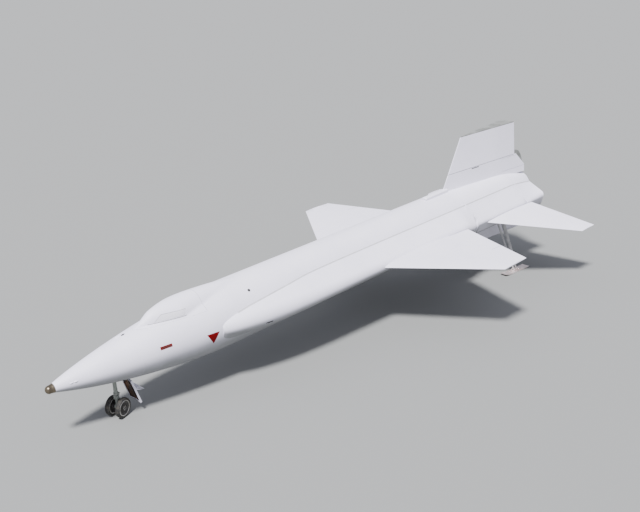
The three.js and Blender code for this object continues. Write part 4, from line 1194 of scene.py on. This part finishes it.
def door_piece(name, columns, lows, faces, form_at):
    """A curved sheet over the door's width, between a front and a rear face."""
    rings = []
    for z in lows:
        front = [form_at(y, z, faces[0]) for y in columns]
        rear = [form_at(y, z, faces[1]) for y in reversed(columns)]
        rings.append(front + rear)
    return skinned(name, rings, lie=LEVEL @ DOOR)


def on_door(y, z, x):
    return (x - DOOR_BOW * (y / DOOR_HALF) ** 2, y, z)


columns = [DOOR_HALF * (i / 12 - 1) for i in range(25)]
skin = door_piece("door_skin", columns, spread(-DOOR_LENGTH, 0, 0.06), (0, DOOR_THICK), on_door)
carve(skin, door_piece("tray_tool", [y * 0.965 for y in columns], spread(-DOOR_LENGTH + 0.007, -0.007, 0.06),
                       (-0.05, DOOR_THICK - 0.006), on_door))
fit(skin, white_coat, "nose_gear_door")
pan = door_piece("door_pan", [y * 0.962 for y in columns], spread(-DOOR_LENGTH + 0.0075, -0.0075, 0.06),
                 (0.012, DOOR_THICK - 0.0065), on_door)
for low, high in ((-0.565, -0.445), (-0.425, -0.305), (-0.285, -0.165), (-0.145, -0.030)):
    for start, end in ((-0.178, -0.022), (0.022, 0.178)):
        pocket = [start + (end - start) * i / 8 for i in range(9)]
        carve(pan, door_piece("pocket", pocket, (low, high), (-0.02, 0.024), on_door))
fit(pan, brown_primer, "nose_gear_door")
spots = [on_door(y, z, 0.012) for y in (-0.186, 0.0, 0.186) for z in (-0.573, -0.435, -0.295, -0.155, -0.020)]
fit(studded("door_rivets", spots, (-1, 0, 0), 0.0045, 0.003, lie=LEVEL @ DOOR), brown_primer)

SCOOP = DOOR @ Matrix.Translation((DOOR_THICK + 0.0003, 0, -0.255)) @ Matrix.Rotation(radians(-49), 4, "Y")
SCOOP_LENGTH, SCOOP_HALF, SCOOP_THICK, SCOOP_BOW = 0.212, 0.145, 0.008, 0.044
rings = []
for z in spread(-SCOOP_LENGTH, -0.004, 0.03):
    lift = SCOOP_BOW * sin(pi * (z + SCOOP_LENGTH) / SCOOP_LENGTH) * 0.5
    rings.append([(lift + x, y, z) for x, y in ((0, -SCOOP_HALF), (0, SCOOP_HALF), (SCOOP_THICK, SCOOP_HALF * 0.985),
                                               (SCOOP_THICK, -SCOOP_HALF * 0.985))])
fit(skinned("scoop_plate", rings, lie=LEVEL @ SCOOP), white_coat, "nose_door_scoop")
for side_name, side in SIDES:
    cheek = [(0.001, -SCOOP_LENGTH + 0.02), (0.001, -0.02), (-0.030, -0.02), (-0.020, -SCOOP_LENGTH * 0.55)]
    fit(skinned(f"scoop_cheek_{side_name}", [[(x, side * y, z) for x, z in cheek] for y in (0.132, 0.138)],
                lie=LEVEL @ SCOOP), white_coat)


# Tail skids: bare steel shoes with a turned-up toe, each hung on a main strut and a drag brace from the rear fairing.
# The struts and braces are painted tubes, pinned between two cheeks that stand on the shoe.
SKI_X, SKI_SIDE, SKI_LENGTH, SKI_HALF, SKI_THICK = 14.200, 1.090, 1.190, 0.115, 0.028
TOE_LENGTH, TOE_RISE = 0.33, 0.055
# Columns: name, upper end, radius, how far aft of the shoe's middle its foot is pinned, start and end of the tube.
LEGS = [
    ("strut", Vector((13.850, 0.740, -0.130)), 0.057, 0.070, 0.275, 0.16),
    ("brace", Vector((13.630, 0.735, -0.190)), 0.026, -0.060, 0.215, 0.20),
]
PIN_HEIGHT = 0.070
worn_steel = worked("worn_steel", "skid_steel", (0.86, 0.78, 0.77), (0.60, 0.50, 0.47), 45, 7, 0.3, bump=0.3,
                    metallic=0.8)
strut_paint = sprayed("strut_paint", "grey_paint", (0.50, 0.50, 0.51), (0.37, 0.365, 0.36), 0.12, 0.42)


def ski_ring(along, thick, half, chamfer=0.006):
    """A cut across the shoe, with its sole at the height that the toe gives it."""
    toe = max(0.0, 1 - (along + SKI_LENGTH / 2) / TOE_LENGTH)
    sole = TOE_RISE * toe ** 1.6
    return [(along, y, z + sole) for y, z in (
        (-half + chamfer, 0), (half - chamfer, 0), (half, chamfer), (half, thick - 0.003), (half - 0.003, thick),
        (half - 0.020, thick), (half - 0.024, thick - 0.008), (-half + 0.024, thick - 0.008),
        (-half + 0.020, thick), (-half + 0.003, thick), (-half, thick - 0.003), (-half, chamfer))]


for side_name, side in SIDES:
    foot = LEVEL @ Vector((SKI_X, side * SKI_SIDE, ground_at(SKI_X)))
    on_ground = Matrix.Translation((foot.x, foot.y, 0))
    stops = [-SKI_LENGTH / 2 + TOE_LENGTH * i / 10 for i in range(11)] + spread(-0.2, SKI_LENGTH / 2, 0.1)
    shoe = skinned(f"skid_shoe_{side_name}", [
        ski_ring(along, SKI_THICK * min(1, 0.6 + (along + SKI_LENGTH / 2) / 0.3),
                 SKI_HALF * min(1, 0.82 + (along + SKI_LENGTH / 2) / 0.5)) for along in stops], lie=on_ground)
    fit(shoe, worn_steel, f"skid_{side_name}")
    cheeks = [(-0.140, 0.018), (0.150, 0.018), (0.150, 0.042), (0.100, 0.095), (0.040, 0.095), (0.015, 0.055),
              (-0.015, 0.055), (-0.035, 0.088), (-0.085, 0.088), (-0.140, 0.040)]
    lug = skinned(f"skid_lug_{side_name}", [[(x, y, z) for x, z in cheeks] for y in (-0.045, 0.045)], lie=on_ground)
    carve(lug, boxed("slot_tool", (-0.2, -0.028, 0.034), (0.2, 0.028, 0.2), lie=on_ground))
    fit(lug, worn_steel, f"skid_{side_name}")
    spots = [(x, y, SKI_THICK - 0.008) for x in (-0.22, -0.17, 0.18, 0.24) for y in (-0.055, 0.055)]
    fit(studded(f"skid_bolts_{side_name}", spots, (0, 0, 1), 0.009, 0.010, lie=on_ground), worn_steel)

    for kind, top, radius, aft, start, draw in LEGS:
        fit(turned(f"skid_{kind}_pin_{side_name}", fillet_ends(0.116, 0.013), (aft, -0.058, PIN_HEIGHT),
                   (aft, 0.058, PIN_HEIGHT), count=24, lie=on_ground), bright_steel, f"skid_{side_name}")
        eye = Vector((SKI_X + aft, side * SKI_SIDE, ground_at(SKI_X + aft) + PIN_HEIGHT))
        top = Vector((top.x, side * top.y, top.z))
        length = (eye - top).length
        shoulder = length - draw
        outline = [(start, 0), (start, radius), (shoulder * 0.45, radius), (shoulder * 0.45 + 0.004, radius * 1.10),
                   (shoulder * 0.45 + 0.05, radius * 1.10), (shoulder * 0.45 + 0.054, radius * 0.9),
                   (shoulder, radius * 0.9), (shoulder + 0.03, 0.026), (length - 0.02, 0.024),
                   (length - 0.010, 0)]
        fit(turned(f"skid_{kind}_tube_{side_name}", outline, top, eye, count=40), strut_paint,
            f"skid_{kind}_{side_name}")


# Inside surfaces: the gear well, the cockpit tub, the inside of the lid and the engine bay are primed or painted dark.
# They are the backs of the same skins, so only those faces of each piece take the second finish.
cockpit_grey = sprayed("cockpit_grey", "white_paint", (0.16, 0.175, 0.165), (0.10, 0.11, 0.105), 0.12, 0.55,
                       streaks=0.4, grit=0.7)
well_primer = sprayed("well_primer", "white_paint", (0.24, 0.26, 0.20), (0.13, 0.14, 0.11), 0.10, 0.5, grit=0.7)


def deep(centre, depth):
    return hypot(centre.y, centre.z - body_centre(centre.x)) < body_radius(centre.x) - depth


painted_where(nose_skin, well_primer, lambda centre, facing: (
    WELL_FRONT - 0.01 < centre.x < WELL_REAR + 0.01 and abs(centre.y) < WELL_HALF + 0.01
    and centre.z < WELL_ROOF + 0.01 and deep(centre, 0.004)))
painted_where(cockpit_skin, cockpit_grey, lambda centre, facing: (
    COCKPIT_FRONT - 0.01 < centre.x < COCKPIT_REAR + 0.01 and deep(centre, 0.02) and centre.z < SILL - 0.001))
painted_where(engine_skin, well_primer, lambda centre, facing: (
    centre.x > BAY_FRONT - 0.01 and hypot(centre.y, centre.z) < BAY_RADIUS + 0.005))
painted_where(lid, cockpit_grey, lambda centre, facing: (
    centre.x > LID_HOLLOW and facing.dot(Vector((0, centre.y, centre.z - HUMP_SPRING))) < 0
    and centre.z > SILL + 0.002))


# Seat: a metal ejection seat on rails, with sewn cloth cushions and a webbing harness.
# Its plates and blocks are painted alloy, set on two round rails and two struts that stand on the cockpit's floor.
cloth, took, gave = effect("woven_cloth", [
    ("Warp", COLOUR, (0.2, 0.2, 0.2, 1)), ("Weft", COLOUR, (0.15, 0.15, 0.15, 1)), ("Threads", NUMBER, 900),
    ("Fading", NUMBER, 0.3)])
place = node(cloth, "ShaderNodeTexCoord").outputs["Object"]
threads = [
    node(cloth, "ShaderNodeTexWave", bands_direction=direction, Vector=place, Scale=took["Threads"], Distortion=0.4,
         Detail=1).outputs["Fac"] for direction in ("Y", "Z")]
weave = reckon(cloth, "MULTIPLY", *threads)
fade = noise(cloth, place, 14, 5, 0.6)
warp_share = reckon(cloth, "MULTIPLY_ADD", weave, 0.6, reckon(cloth, "MULTIPLY", fade, took["Fading"]), clamp=True)
give(cloth, gave, Colour=mixed(cloth, warp_share, took["Weft"], took["Warp"]),
     Roughness=reckon(cloth, "MULTIPLY_ADD", fade, 0.15, 0.78), Height=weave)


def woven(name, warp, weft, threads, fading, depth):
    return coated(name, "seat_webbing", cloth, {
        "Warp": (*warp, 1), "Weft": (*weft, 1), "Threads": threads, "Fading": fading}, 0.5, depth)


seat_cloth = woven("seat_cloth", (0.105, 0.12, 0.075), (0.06, 0.068, 0.042), 420, 0.5, 0.0006)
harness_web = woven("harness_web", (0.32, 0.31, 0.26), (0.20, 0.19, 0.16), 600, 0.4, 0.0005)
seat_paint = sprayed("seat_paint", "cockpit_black", (0.20, 0.215, 0.20), (0.33, 0.33, 0.32), 0.05, 0.42, grit=0.7,
                     depth=0.0008)


def chamfered(name, low, high, cut=0.006, lie=None):
    """A plate or block with all its long edges taken off."""
    rings = []
    for x, draw in ((low[0], cut), (low[0] + cut, 0), (high[0] - cut, 0), (high[0], cut)):
        y0, y1, z0, z1 = low[1] + draw, high[1] - draw, low[2] + draw, high[2] - draw
        rings.append([(x, y, z) for y, z in (
            (y0 + cut, z0), (y1 - cut, z0), (y1, z0 + cut), (y1, z1 - cut), (y1 - cut, z1), (y0 + cut, z1),
            (y0, z1 - cut), (y0, z0 + cut))])
    return skinned(name, rings, lie=lie)


for name, low, high, cut in (
        ("seat_pan", (2.935, -0.205, -0.070), (3.300, 0.205, -0.012), 0.008),
        ("seat_back", (3.315, -0.200, -0.050), (3.395, 0.200, 0.555), 0.010),
        ("seat_head_box", (3.300, -0.110, 0.560), (3.388, 0.110, 0.735), 0.012),
        ("seat_cheek_left", (2.960, -0.215, -0.060), (3.380, -0.207, 0.180), 0.003),
        ("seat_cheek_right", (2.960, 0.207, -0.060), (3.380, 0.215, 0.180), 0.003),
        ("seat_beam", (3.030, -0.150, -0.110), (3.400, 0.150, -0.074), 0.006)):
    fit(chamfered(name, low, high, cut), seat_paint, "seat")
for side_name, side in SIDES:
    for name, start, end, radius in (
            ("seat_rail", (3.395, side * 0.125, -0.325), (3.408, side * 0.125, 0.600), 0.010),
            ("seat_strut", (3.060, side * 0.120, -0.325), (3.150, side * 0.120, -0.085), 0.014),
            ("seat_footplate", (3.020, side * 0.120, -0.3290), (3.110, side * 0.120, -0.3200), 0.022)):
        fit(turned(f"{name}_{side_name}", fillet_ends((Vector(end) - Vector(start)).length, radius), start, end,
                   count=24), seat_paint, "seat")


PAD_ROUND, PAD_PULL = 0.18, 0.05


def pad_place(u, v):
    """Where a place on a square pad comes to lie once its corners are rounded and its sides pulled in."""
    waist = 1 - PAD_PULL * (1 - u ** 2) * abs(v) - PAD_PULL * (1 - v ** 2) * abs(u)
    return u * sqrt(1 - PAD_ROUND * v ** 2) * waist, v * sqrt(1 - PAD_ROUND * u ** 2) * waist


def cushion(name, middle, reach, up, crown, channels=0, steps=40):
    """A filled pad, crowned on its open side and nearly flat behind, pulled in between its corners."""
    middle, up, wide = Vector(middle), Vector(up), Vector((0, 1, 0))
    along = up.cross(wide)
    form = bmesh.new()
    for face in (1, -1):
        rows = []
        for i in range(steps + 1):
            row = []
            for k in range(steps + 1):
                u, v = 2 * i / steps - 1, 2 * k / steps - 1
                full = ((1 - u ** 4) * (1 - v ** 4)) ** 0.45
                seam = sum(exp(-((u - (2 * (c + 1) / (channels + 1) - 1)) / 0.055) ** 2) for c in range(channels))
                lift = crown * full * (1 - 0.45 * seam) if face > 0 else -0.25 * crown * full
                far_along, far_wide = pad_place(u, v)
                row.append(form.verts.new(middle + along * reach[0] * far_along + wide * reach[1] * far_wide
                                          + up * lift))
            rows.append(row)
        for near, far in zip(rows, rows[1:]):
            for k in range(steps):
                form.faces.new((near[k], near[k + 1], far[k + 1], far[k]))
    return settle(form, name, sharp=60)


def piping(name, middle, reach, up, radius=0.004):
    """The sewn cord round a cushion's edge."""
    middle, up, wide = Vector(middle), Vector(up), Vector((0, 1, 0))
    along = up.cross(wide)
    line = []
    corners = [(1, -1), (1, 1), (-1, 1), (-1, -1)]
    for (a, b), (c, d) in zip(corners, corners[1:] + corners[:1]):
        for i in range(16):
            far_along, far_wide = pad_place(a + (c - a) * i / 16, b + (d - b) * i / 16)
            line.append(middle + along * reach[0] * far_along + wide * reach[1] * far_wide)
    hoops = []
    for i, point in enumerate(line):
        aim = (line[(i + 1) % len(line)] - line[i - 1]).normalized()
        hoops.append(ring_round(point, up, aim.cross(up), radius, 8))
    return skinned(name, hoops, round_trip=True)


for name, middle, reach, up, crown, channels in (
        ("seat_cushion", (3.115, 0, -0.002), (0.165, 0.185), (0, 0, 1), 0.042, 3),
        ("back_cushion", (3.306, 0, 0.290), (0.235, 0.175), (-1, 0, 0), 0.040, 4),
        ("head_cushion", (3.294, 0, 0.655), (0.065, 0.100), (-1, 0, 0), 0.024, 0)):
    pad = cushion(name, middle, reach, up, crown, channels)
    fit(pad, seat_cloth, "seat")
    fit(piping(f"{name}_piping", middle, reach, up), seat_cloth)


def strap(name, route, half=0.021, thick=0.0016, flat=(0, 1, 0)):
    """Flat webbing laid along a route, its width always to one side."""
    flat, hoops = Vector(flat), []
    for point, aim in smooth_route(route, 10):
        wide = (flat - aim * flat.dot(aim)).normalized()
        over = aim.cross(wide)
        hoops.append([point + wide * w + over * o for w, o in (
            (-half, 0), (-half + 0.001, thick), (half - 0.001, thick), (half, 0), (half - 0.001, -thick),
            (-half + 0.001, -thick))])
    return skinned(name, hoops)


for side_name, side in SIDES:
    fit(strap(f"shoulder_strap_{side_name}", [
        (3.330, side * 0.085, 0.560), (3.285, side * 0.085, 0.520), (3.260, side * 0.080, 0.400),
        (3.258, side * 0.065, 0.250), (3.235, side * 0.040, 0.110), (3.190, side * 0.026, 0.062)]), harness_web)
    fit(strap(f"lap_strap_{side_name}", [
        (3.300, side * 0.203, 0.020), (3.270, side * 0.165, 0.050), (3.215, side * 0.100, 0.062),
        (3.180, side * 0.030, 0.060)], flat=(1, 0, 0.25)), harness_web)
fit(turned("harness_buckle", [(0, 0), (0, 0.030), (0.004, 0.034), (0.010, 0.034), (0.014, 0.028), (0.014, 0.012),
                              (0.018, 0.010), (0.018, 0)], (3.185, 0, 0.058), (3.150, 0, 0.120), count=32),
    bright_steel)


# Instrument panel and consoles: black crackle-painted sheet with round dials, and side consoles with knobs.
# The dials' bezels are turned rings set on the sheet, with ticks and needles in raised white paint.
black_crackle = sprayed("black_crackle", "cockpit_black", (0.028, 0.029, 0.031), (0.055, 0.056, 0.058), 0.05, 0.6,
                        streaks=0.3, grit=1.0, bump=0.6)
dial_white = sprayed("dial_white", "cockpit_black", (0.75, 0.74, 0.66), (0.62, 0.60, 0.50), 0.02, 0.5, streaks=0.2,
                     grit=0.3, bump=0.1, depth=0.0005)
PANEL_FACE = 2.545
fit(chamfered("panel_sheet", (2.500, -0.210, 0.065), (PANEL_FACE, 0.210, 0.395), 0.006), black_crackle,
    "instrument_panel")
fit(chamfered("panel_hood", (2.485, -0.213, 0.3955), (2.558, 0.213, 0.3995), 0.0015), black_crackle, "instrument_panel")
# Columns: place across, height, radius.
DIALS = [
    (0.0, 0.330, 0.050), (-0.108, 0.335, 0.039), (0.108, 0.335, 0.039), (0.0, 0.215, 0.046), (-0.105, 0.235, 0.037),
    (0.105, 0.235, 0.037), (-0.178, 0.290, 0.024), (0.178, 0.290, 0.024), (-0.105, 0.135, 0.034),
    (0.105, 0.135, 0.034), (-0.178, 0.190, 0.024), (0.178, 0.190, 0.024), (-0.030, 0.120, 0.022), (0.030, 0.120, 0.022),
]
MARK_DEPTH = 0.0008
marks = bmesh.new()


def dial_mark(y, z, turn, lift, inner, inner_half, outer, outer_half):
    """One raised mark on a dial, at an angle from upright, with the distance and half-width of its two ends."""
    out, over = Vector((0, sin(turn), cos(turn))), Vector((0, cos(turn), -sin(turn)))
    outline = [out * reach + over * half for reach, half in (
        (inner, -inner_half), (inner, inner_half), (outer, outer_half), (outer, -outer_half))]
    stitch(marks, [[Vector((PANEL_FACE + level, y, z)) + corner for corner in outline]
                   for level in (lift, lift + MARK_DEPTH)])


TICKS, SCALE_START, SCALE_SWEEP = 24, -140, 280
for i, (y, z, radius) in enumerate(DIALS):
    bezel = [(-0.004, radius * 0.86), (0.0, radius), (0.008, radius), (0.010, radius * 0.96), (0.010, radius * 0.90),
             (0.003, radius * 0.84)]
    fit(turned(f"dial_bezel_{i}", bezel, (PANEL_FACE, y, z), (PANEL_FACE + 1, y, z), count=40, closed=True),
        black_crackle)
    for tick in range(TICKS):
        inner, wide = (0.62, 0.0012) if tick % 4 == 0 else (0.72, 0.0007)
        dial_mark(y, z, radians(SCALE_START + SCALE_SWEEP * tick / (TICKS - 1)), 0.0006, radius * inner, wide,
                  radius * 0.80, wide)
    dial_mark(y, z, radians(-100 + 53 * i % 200), 0.0012, -radius * 0.18, 0.0018, radius * 0.66, 0.0006)
fit(settle(marks, "dial_marks"), dial_white)

for side_name, side in SIDES:
    low, high = sorted((side * 0.268, side * 0.398))
    fit(chamfered(f"console_{side_name}", (2.705, low, -0.055), (3.245, high, 0.098), 0.008), black_crackle,
        f"side_console_{side_name}")
    low, high = sorted((side * 0.276, side * 0.390))
    for i, (start, end) in enumerate(((2.715, 2.860), (2.866, 3.040), (3.046, 3.235))):
        fit(chamfered(f"console_plate_{side_name}_{i}", (start, low, 0.0983), (end, high, 0.1010), 0.0012), seat_paint)
    for i, (x, y, radius) in enumerate(((2.740, 0.300, 0.009), (2.775, 0.340, 0.007), (2.820, 0.310, 0.010),
                                        (2.900, 0.360, 0.008), (3.080, 0.310, 0.009), (3.130, 0.350, 0.007),
                                        (3.190, 0.330, 0.010))):
        start = (x, side * y, 0.1013)
        fit(turned(f"console_knob_{side_name}_{i}", [
            (0, 0), (0, radius), (0.003, radius), (0.004, radius * 0.75), (0.013, radius * 0.68),
            (0.015, radius * 0.5), (0.015, 0)], start, (x, side * y, 1), count=20), black_crackle)


# Centre stick: a plain tube out of a rubber boot, with a moulded grip.
# The bright steel tube leans a little forward, and the grip is one moulding pushed over its top.
FLOOR_TOP = COCKPIT_FLOOR + 0.0003
fit(turned("stick_boot", [
    (0, 0), (0, 0.030), (0.004, 0.030), (0.008, 0.026), (0.012, 0.029), (0.016, 0.0245), (0.020, 0.0275),
    (0.024, 0.0225), (0.028, 0.0255), (0.032, 0.020), (0.040, 0.0185), (0.040, 0)],
    (2.800, 0, FLOOR_TOP), (2.800, 0, 1), count=32), black_rubber, "control_stick", slot="cockpit_black")
fit(turned("stick_tube", fillet_ends(0.352, 0.0145), (2.798, 0, -0.290), (2.760, 0, 0.060), count=32), bright_steel,
    "control_stick")
fit(turned("stick_grip", [
    (0, 0), (0, 0.017), (0.004, 0.021), (0.020, 0.0225), (0.032, 0.020), (0.044, 0.0225), (0.056, 0.0205),
    (0.070, 0.0235), (0.084, 0.0215), (0.100, 0.0255), (0.112, 0.0255), (0.119, 0.020), (0.119, 0)],
    (2.7615, 0, 0.052), (2.7505, 0, 0.170), count=32), black_crackle, "control_stick")


# Painted marks: a red bar and a red triangle on each side of the cockpit, sprayed through masks over the white coat.
# Each is a thin film that follows the barrel, and the bar has a brown core sprayed over its red.
signal_red = sprayed("signal_red", "white_paint", (0.19, 0.001, 0.003), (0.15, 0.003, 0.005), 0.12, 0.6, streaks=0.3,
                     grit=0.5, specular=0.08)
bar_brown = sprayed("bar_brown", "white_paint", (0.075, 0.026, 0.022), (0.10, 0.040, 0.032), 0.06, 0.6, streaks=0.3,
                    grit=0.5, specular=0.08)
PAINT_FILM = 0.0006
# Columns: name, start and end of the strip that it is cut from, corners as distance aft and height,
# paint, and its thickness over the white.
MARKS = [
    ("rescue_bar", 2.20, 2.60, [(2.286, 0.072), (2.550, 0.074), (2.547, 0.140), (2.283, 0.140)],
     signal_red, PAINT_FILM),
    ("rescue_bar_core", 2.20, 2.60, [(2.312, 0.089), (2.528, 0.090), (2.526, 0.122), (2.310, 0.122)],
     bar_brown, 2.5 * PAINT_FILM),
    ("seat_triangle", 3.25, 3.76, [(3.350, 0.034), (3.662, 0.018), (3.506, -0.222)],
     signal_red, PAINT_FILM),
]
for side_name, side in SIDES:
    for name, start, end, corners, paint, film in MARKS:
        mark = body_drum(f"{name}_{side_name}", start, end, growth=film, step=0.02, seams=False)
        carve(mark, across("mask", corners, 0.50, 1, side), "INTERSECT")
        fit(mark, paint)


# Small fittings on the skin: control thrusters under streamlined covers, a probe cover ahead of the canopy,
# a drain cover on the belly, a vent on the first tank, and the openings in fairing and fin.
# The openings are not cut: near-black patches, strips and a swelling on the skin are painted shade for their insides.
opening_shade = sprayed("opening_shade", "cockpit_black", (0.030, 0.030, 0.032), (0.055, 0.052, 0.050), 0.04, 0.6,
                       streaks=0.4, bump=0.4)


def blister(name, start, end, turn, half, proud, fullest=0.42):
    """A streamlined swelling on the body at an angle above level, fullest at a share of its length."""
    power = log(0.5) / log(fullest)
    out, aside = outward(turn), Vector((0, -sin(turn), cos(turn)))
    rings = []
    for i in range(25):
        share = 0.004 + 0.992 * i / 24
        x = start + (end - start) * share
        swell = sin(pi * share ** power) ** 0.75
        heart = Vector(polar(x, turn, body_radius(x) - 0.002))
        rings.append([heart + out * proud * swell * sin(around) + aside * half * swell * cos(around)
                      for around in round_turns(24, 0.5)])
    return skinned(name, rings)


# Columns: name, start, end, degrees above level on the starboard side, half-width, height.
for name, start, end, height, half, proud in (
        ("thruster_cover_front", 0.420, 0.515, 13.0, 0.016, 0.014),
        ("thruster_cover_rear", 0.500, 0.600, 13.0, 0.017, 0.015)):
    for side_name, turn in (("right", radians(height)), ("left", pi - radians(height))):
        fit(blister(f"{name}_{side_name}", start, end, turn, half, proud), white_coat)
        throat = polar(start + 0.62 * (end - start), turn, body_radius(start) + proud * 0.5)
        fit(turned(f"{name}_throat_{side_name}", [
            (0, 0.003), (0, 0.0065), (0.012, 0.0085), (0.012, 0.0065), (0.002, 0.003)],
            throat, Vector(throat) + outward(turn), count=24, closed=True), hot_alloy)

fit(blister("probe_cover", 1.640, 1.800, radians(79), 0.026, 0.026), white_coat)
# A near-black swelling just aft of the cover is painted shade for the probe's opening.
fit(blister("probe_slot", 1.765, 1.862, radians(85), 0.024, 0.016), opening_shade)
fit(blister("belly_drain", 2.210, 2.470, -pi / 2 - 0.10, 0.050, 0.045), white_coat)

VENT_X, VENT_TURN = 4.706, pi - atan2(0.539, 0.477)
vent_face = Vector(polar(VENT_X, VENT_TURN, body_radius(VENT_X)))
vent_away = vent_face + outward(VENT_TURN)
fit(turned("vent_ring", [(-0.003, 0.036), (0.002, 0.036), (0.003, 0.039), (0.001, 0.047), (-0.003, 0.047)],
           vent_face, vent_away, count=40, closed=True), white_coat)
# The throat is a flat near-black disc, painted shade for the vent's hole.
fit(turned("vent_throat", [(-0.003, 0), (-0.003, 0.0355), (0.0006, 0.0355), (0.0006, 0)], vent_face, vent_away,
           count=40), opening_shade)


def flank_strip(name, start, end, low, high, proud):
    """A strip that follows the port fairing, between two heights."""
    rings = []
    for x in spread(start, end, 0.02):
        turns = [pi - atan2(low + (high - low) * i / 3, 1) for i in range(4)]
        reach = lambda turn, lift: over_fairing(x, pi - turn) + lift
        rings.append([polar(x, turn, reach(turn, proud)) for turn in turns]
                     + [polar(x, turn, reach(turn, -0.004)) for turn in reversed(turns)])
    return skinned(name, rings)


# A near-black strip on the fairing is painted shade for the slot.
fit(flank_strip("flank_slot", 4.710, 4.880, -0.130, -0.090, 0.0010), opening_shade)
fit(flank_strip("flank_slot_lip", 4.700, 4.890, -0.147, -0.131, 0.0050), white_coat)

# Near-black strips on the fin are painted shade for its slots.
for side_name, side in SIDES:
    rings = []
    for x in (13.36, 13.66):
        ring = []
        for z, lift in ((1.118, 0.0010), (1.144, 0.0010), (1.144, -0.004), (1.118, -0.004)):
            edge = FIN_EDGE + (z - FIN_EDGE_HEIGHT) * FIN_SWEEP
            ring.append((x, side * (FIN_NOSE + (x - edge) * FIN_WEDGE + lift), z))
        rings.append(ring)
    fit(skinned(f"fin_slot_{side_name}", rings), opening_shade)


# The bounds of the finished aircraft.
low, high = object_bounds()
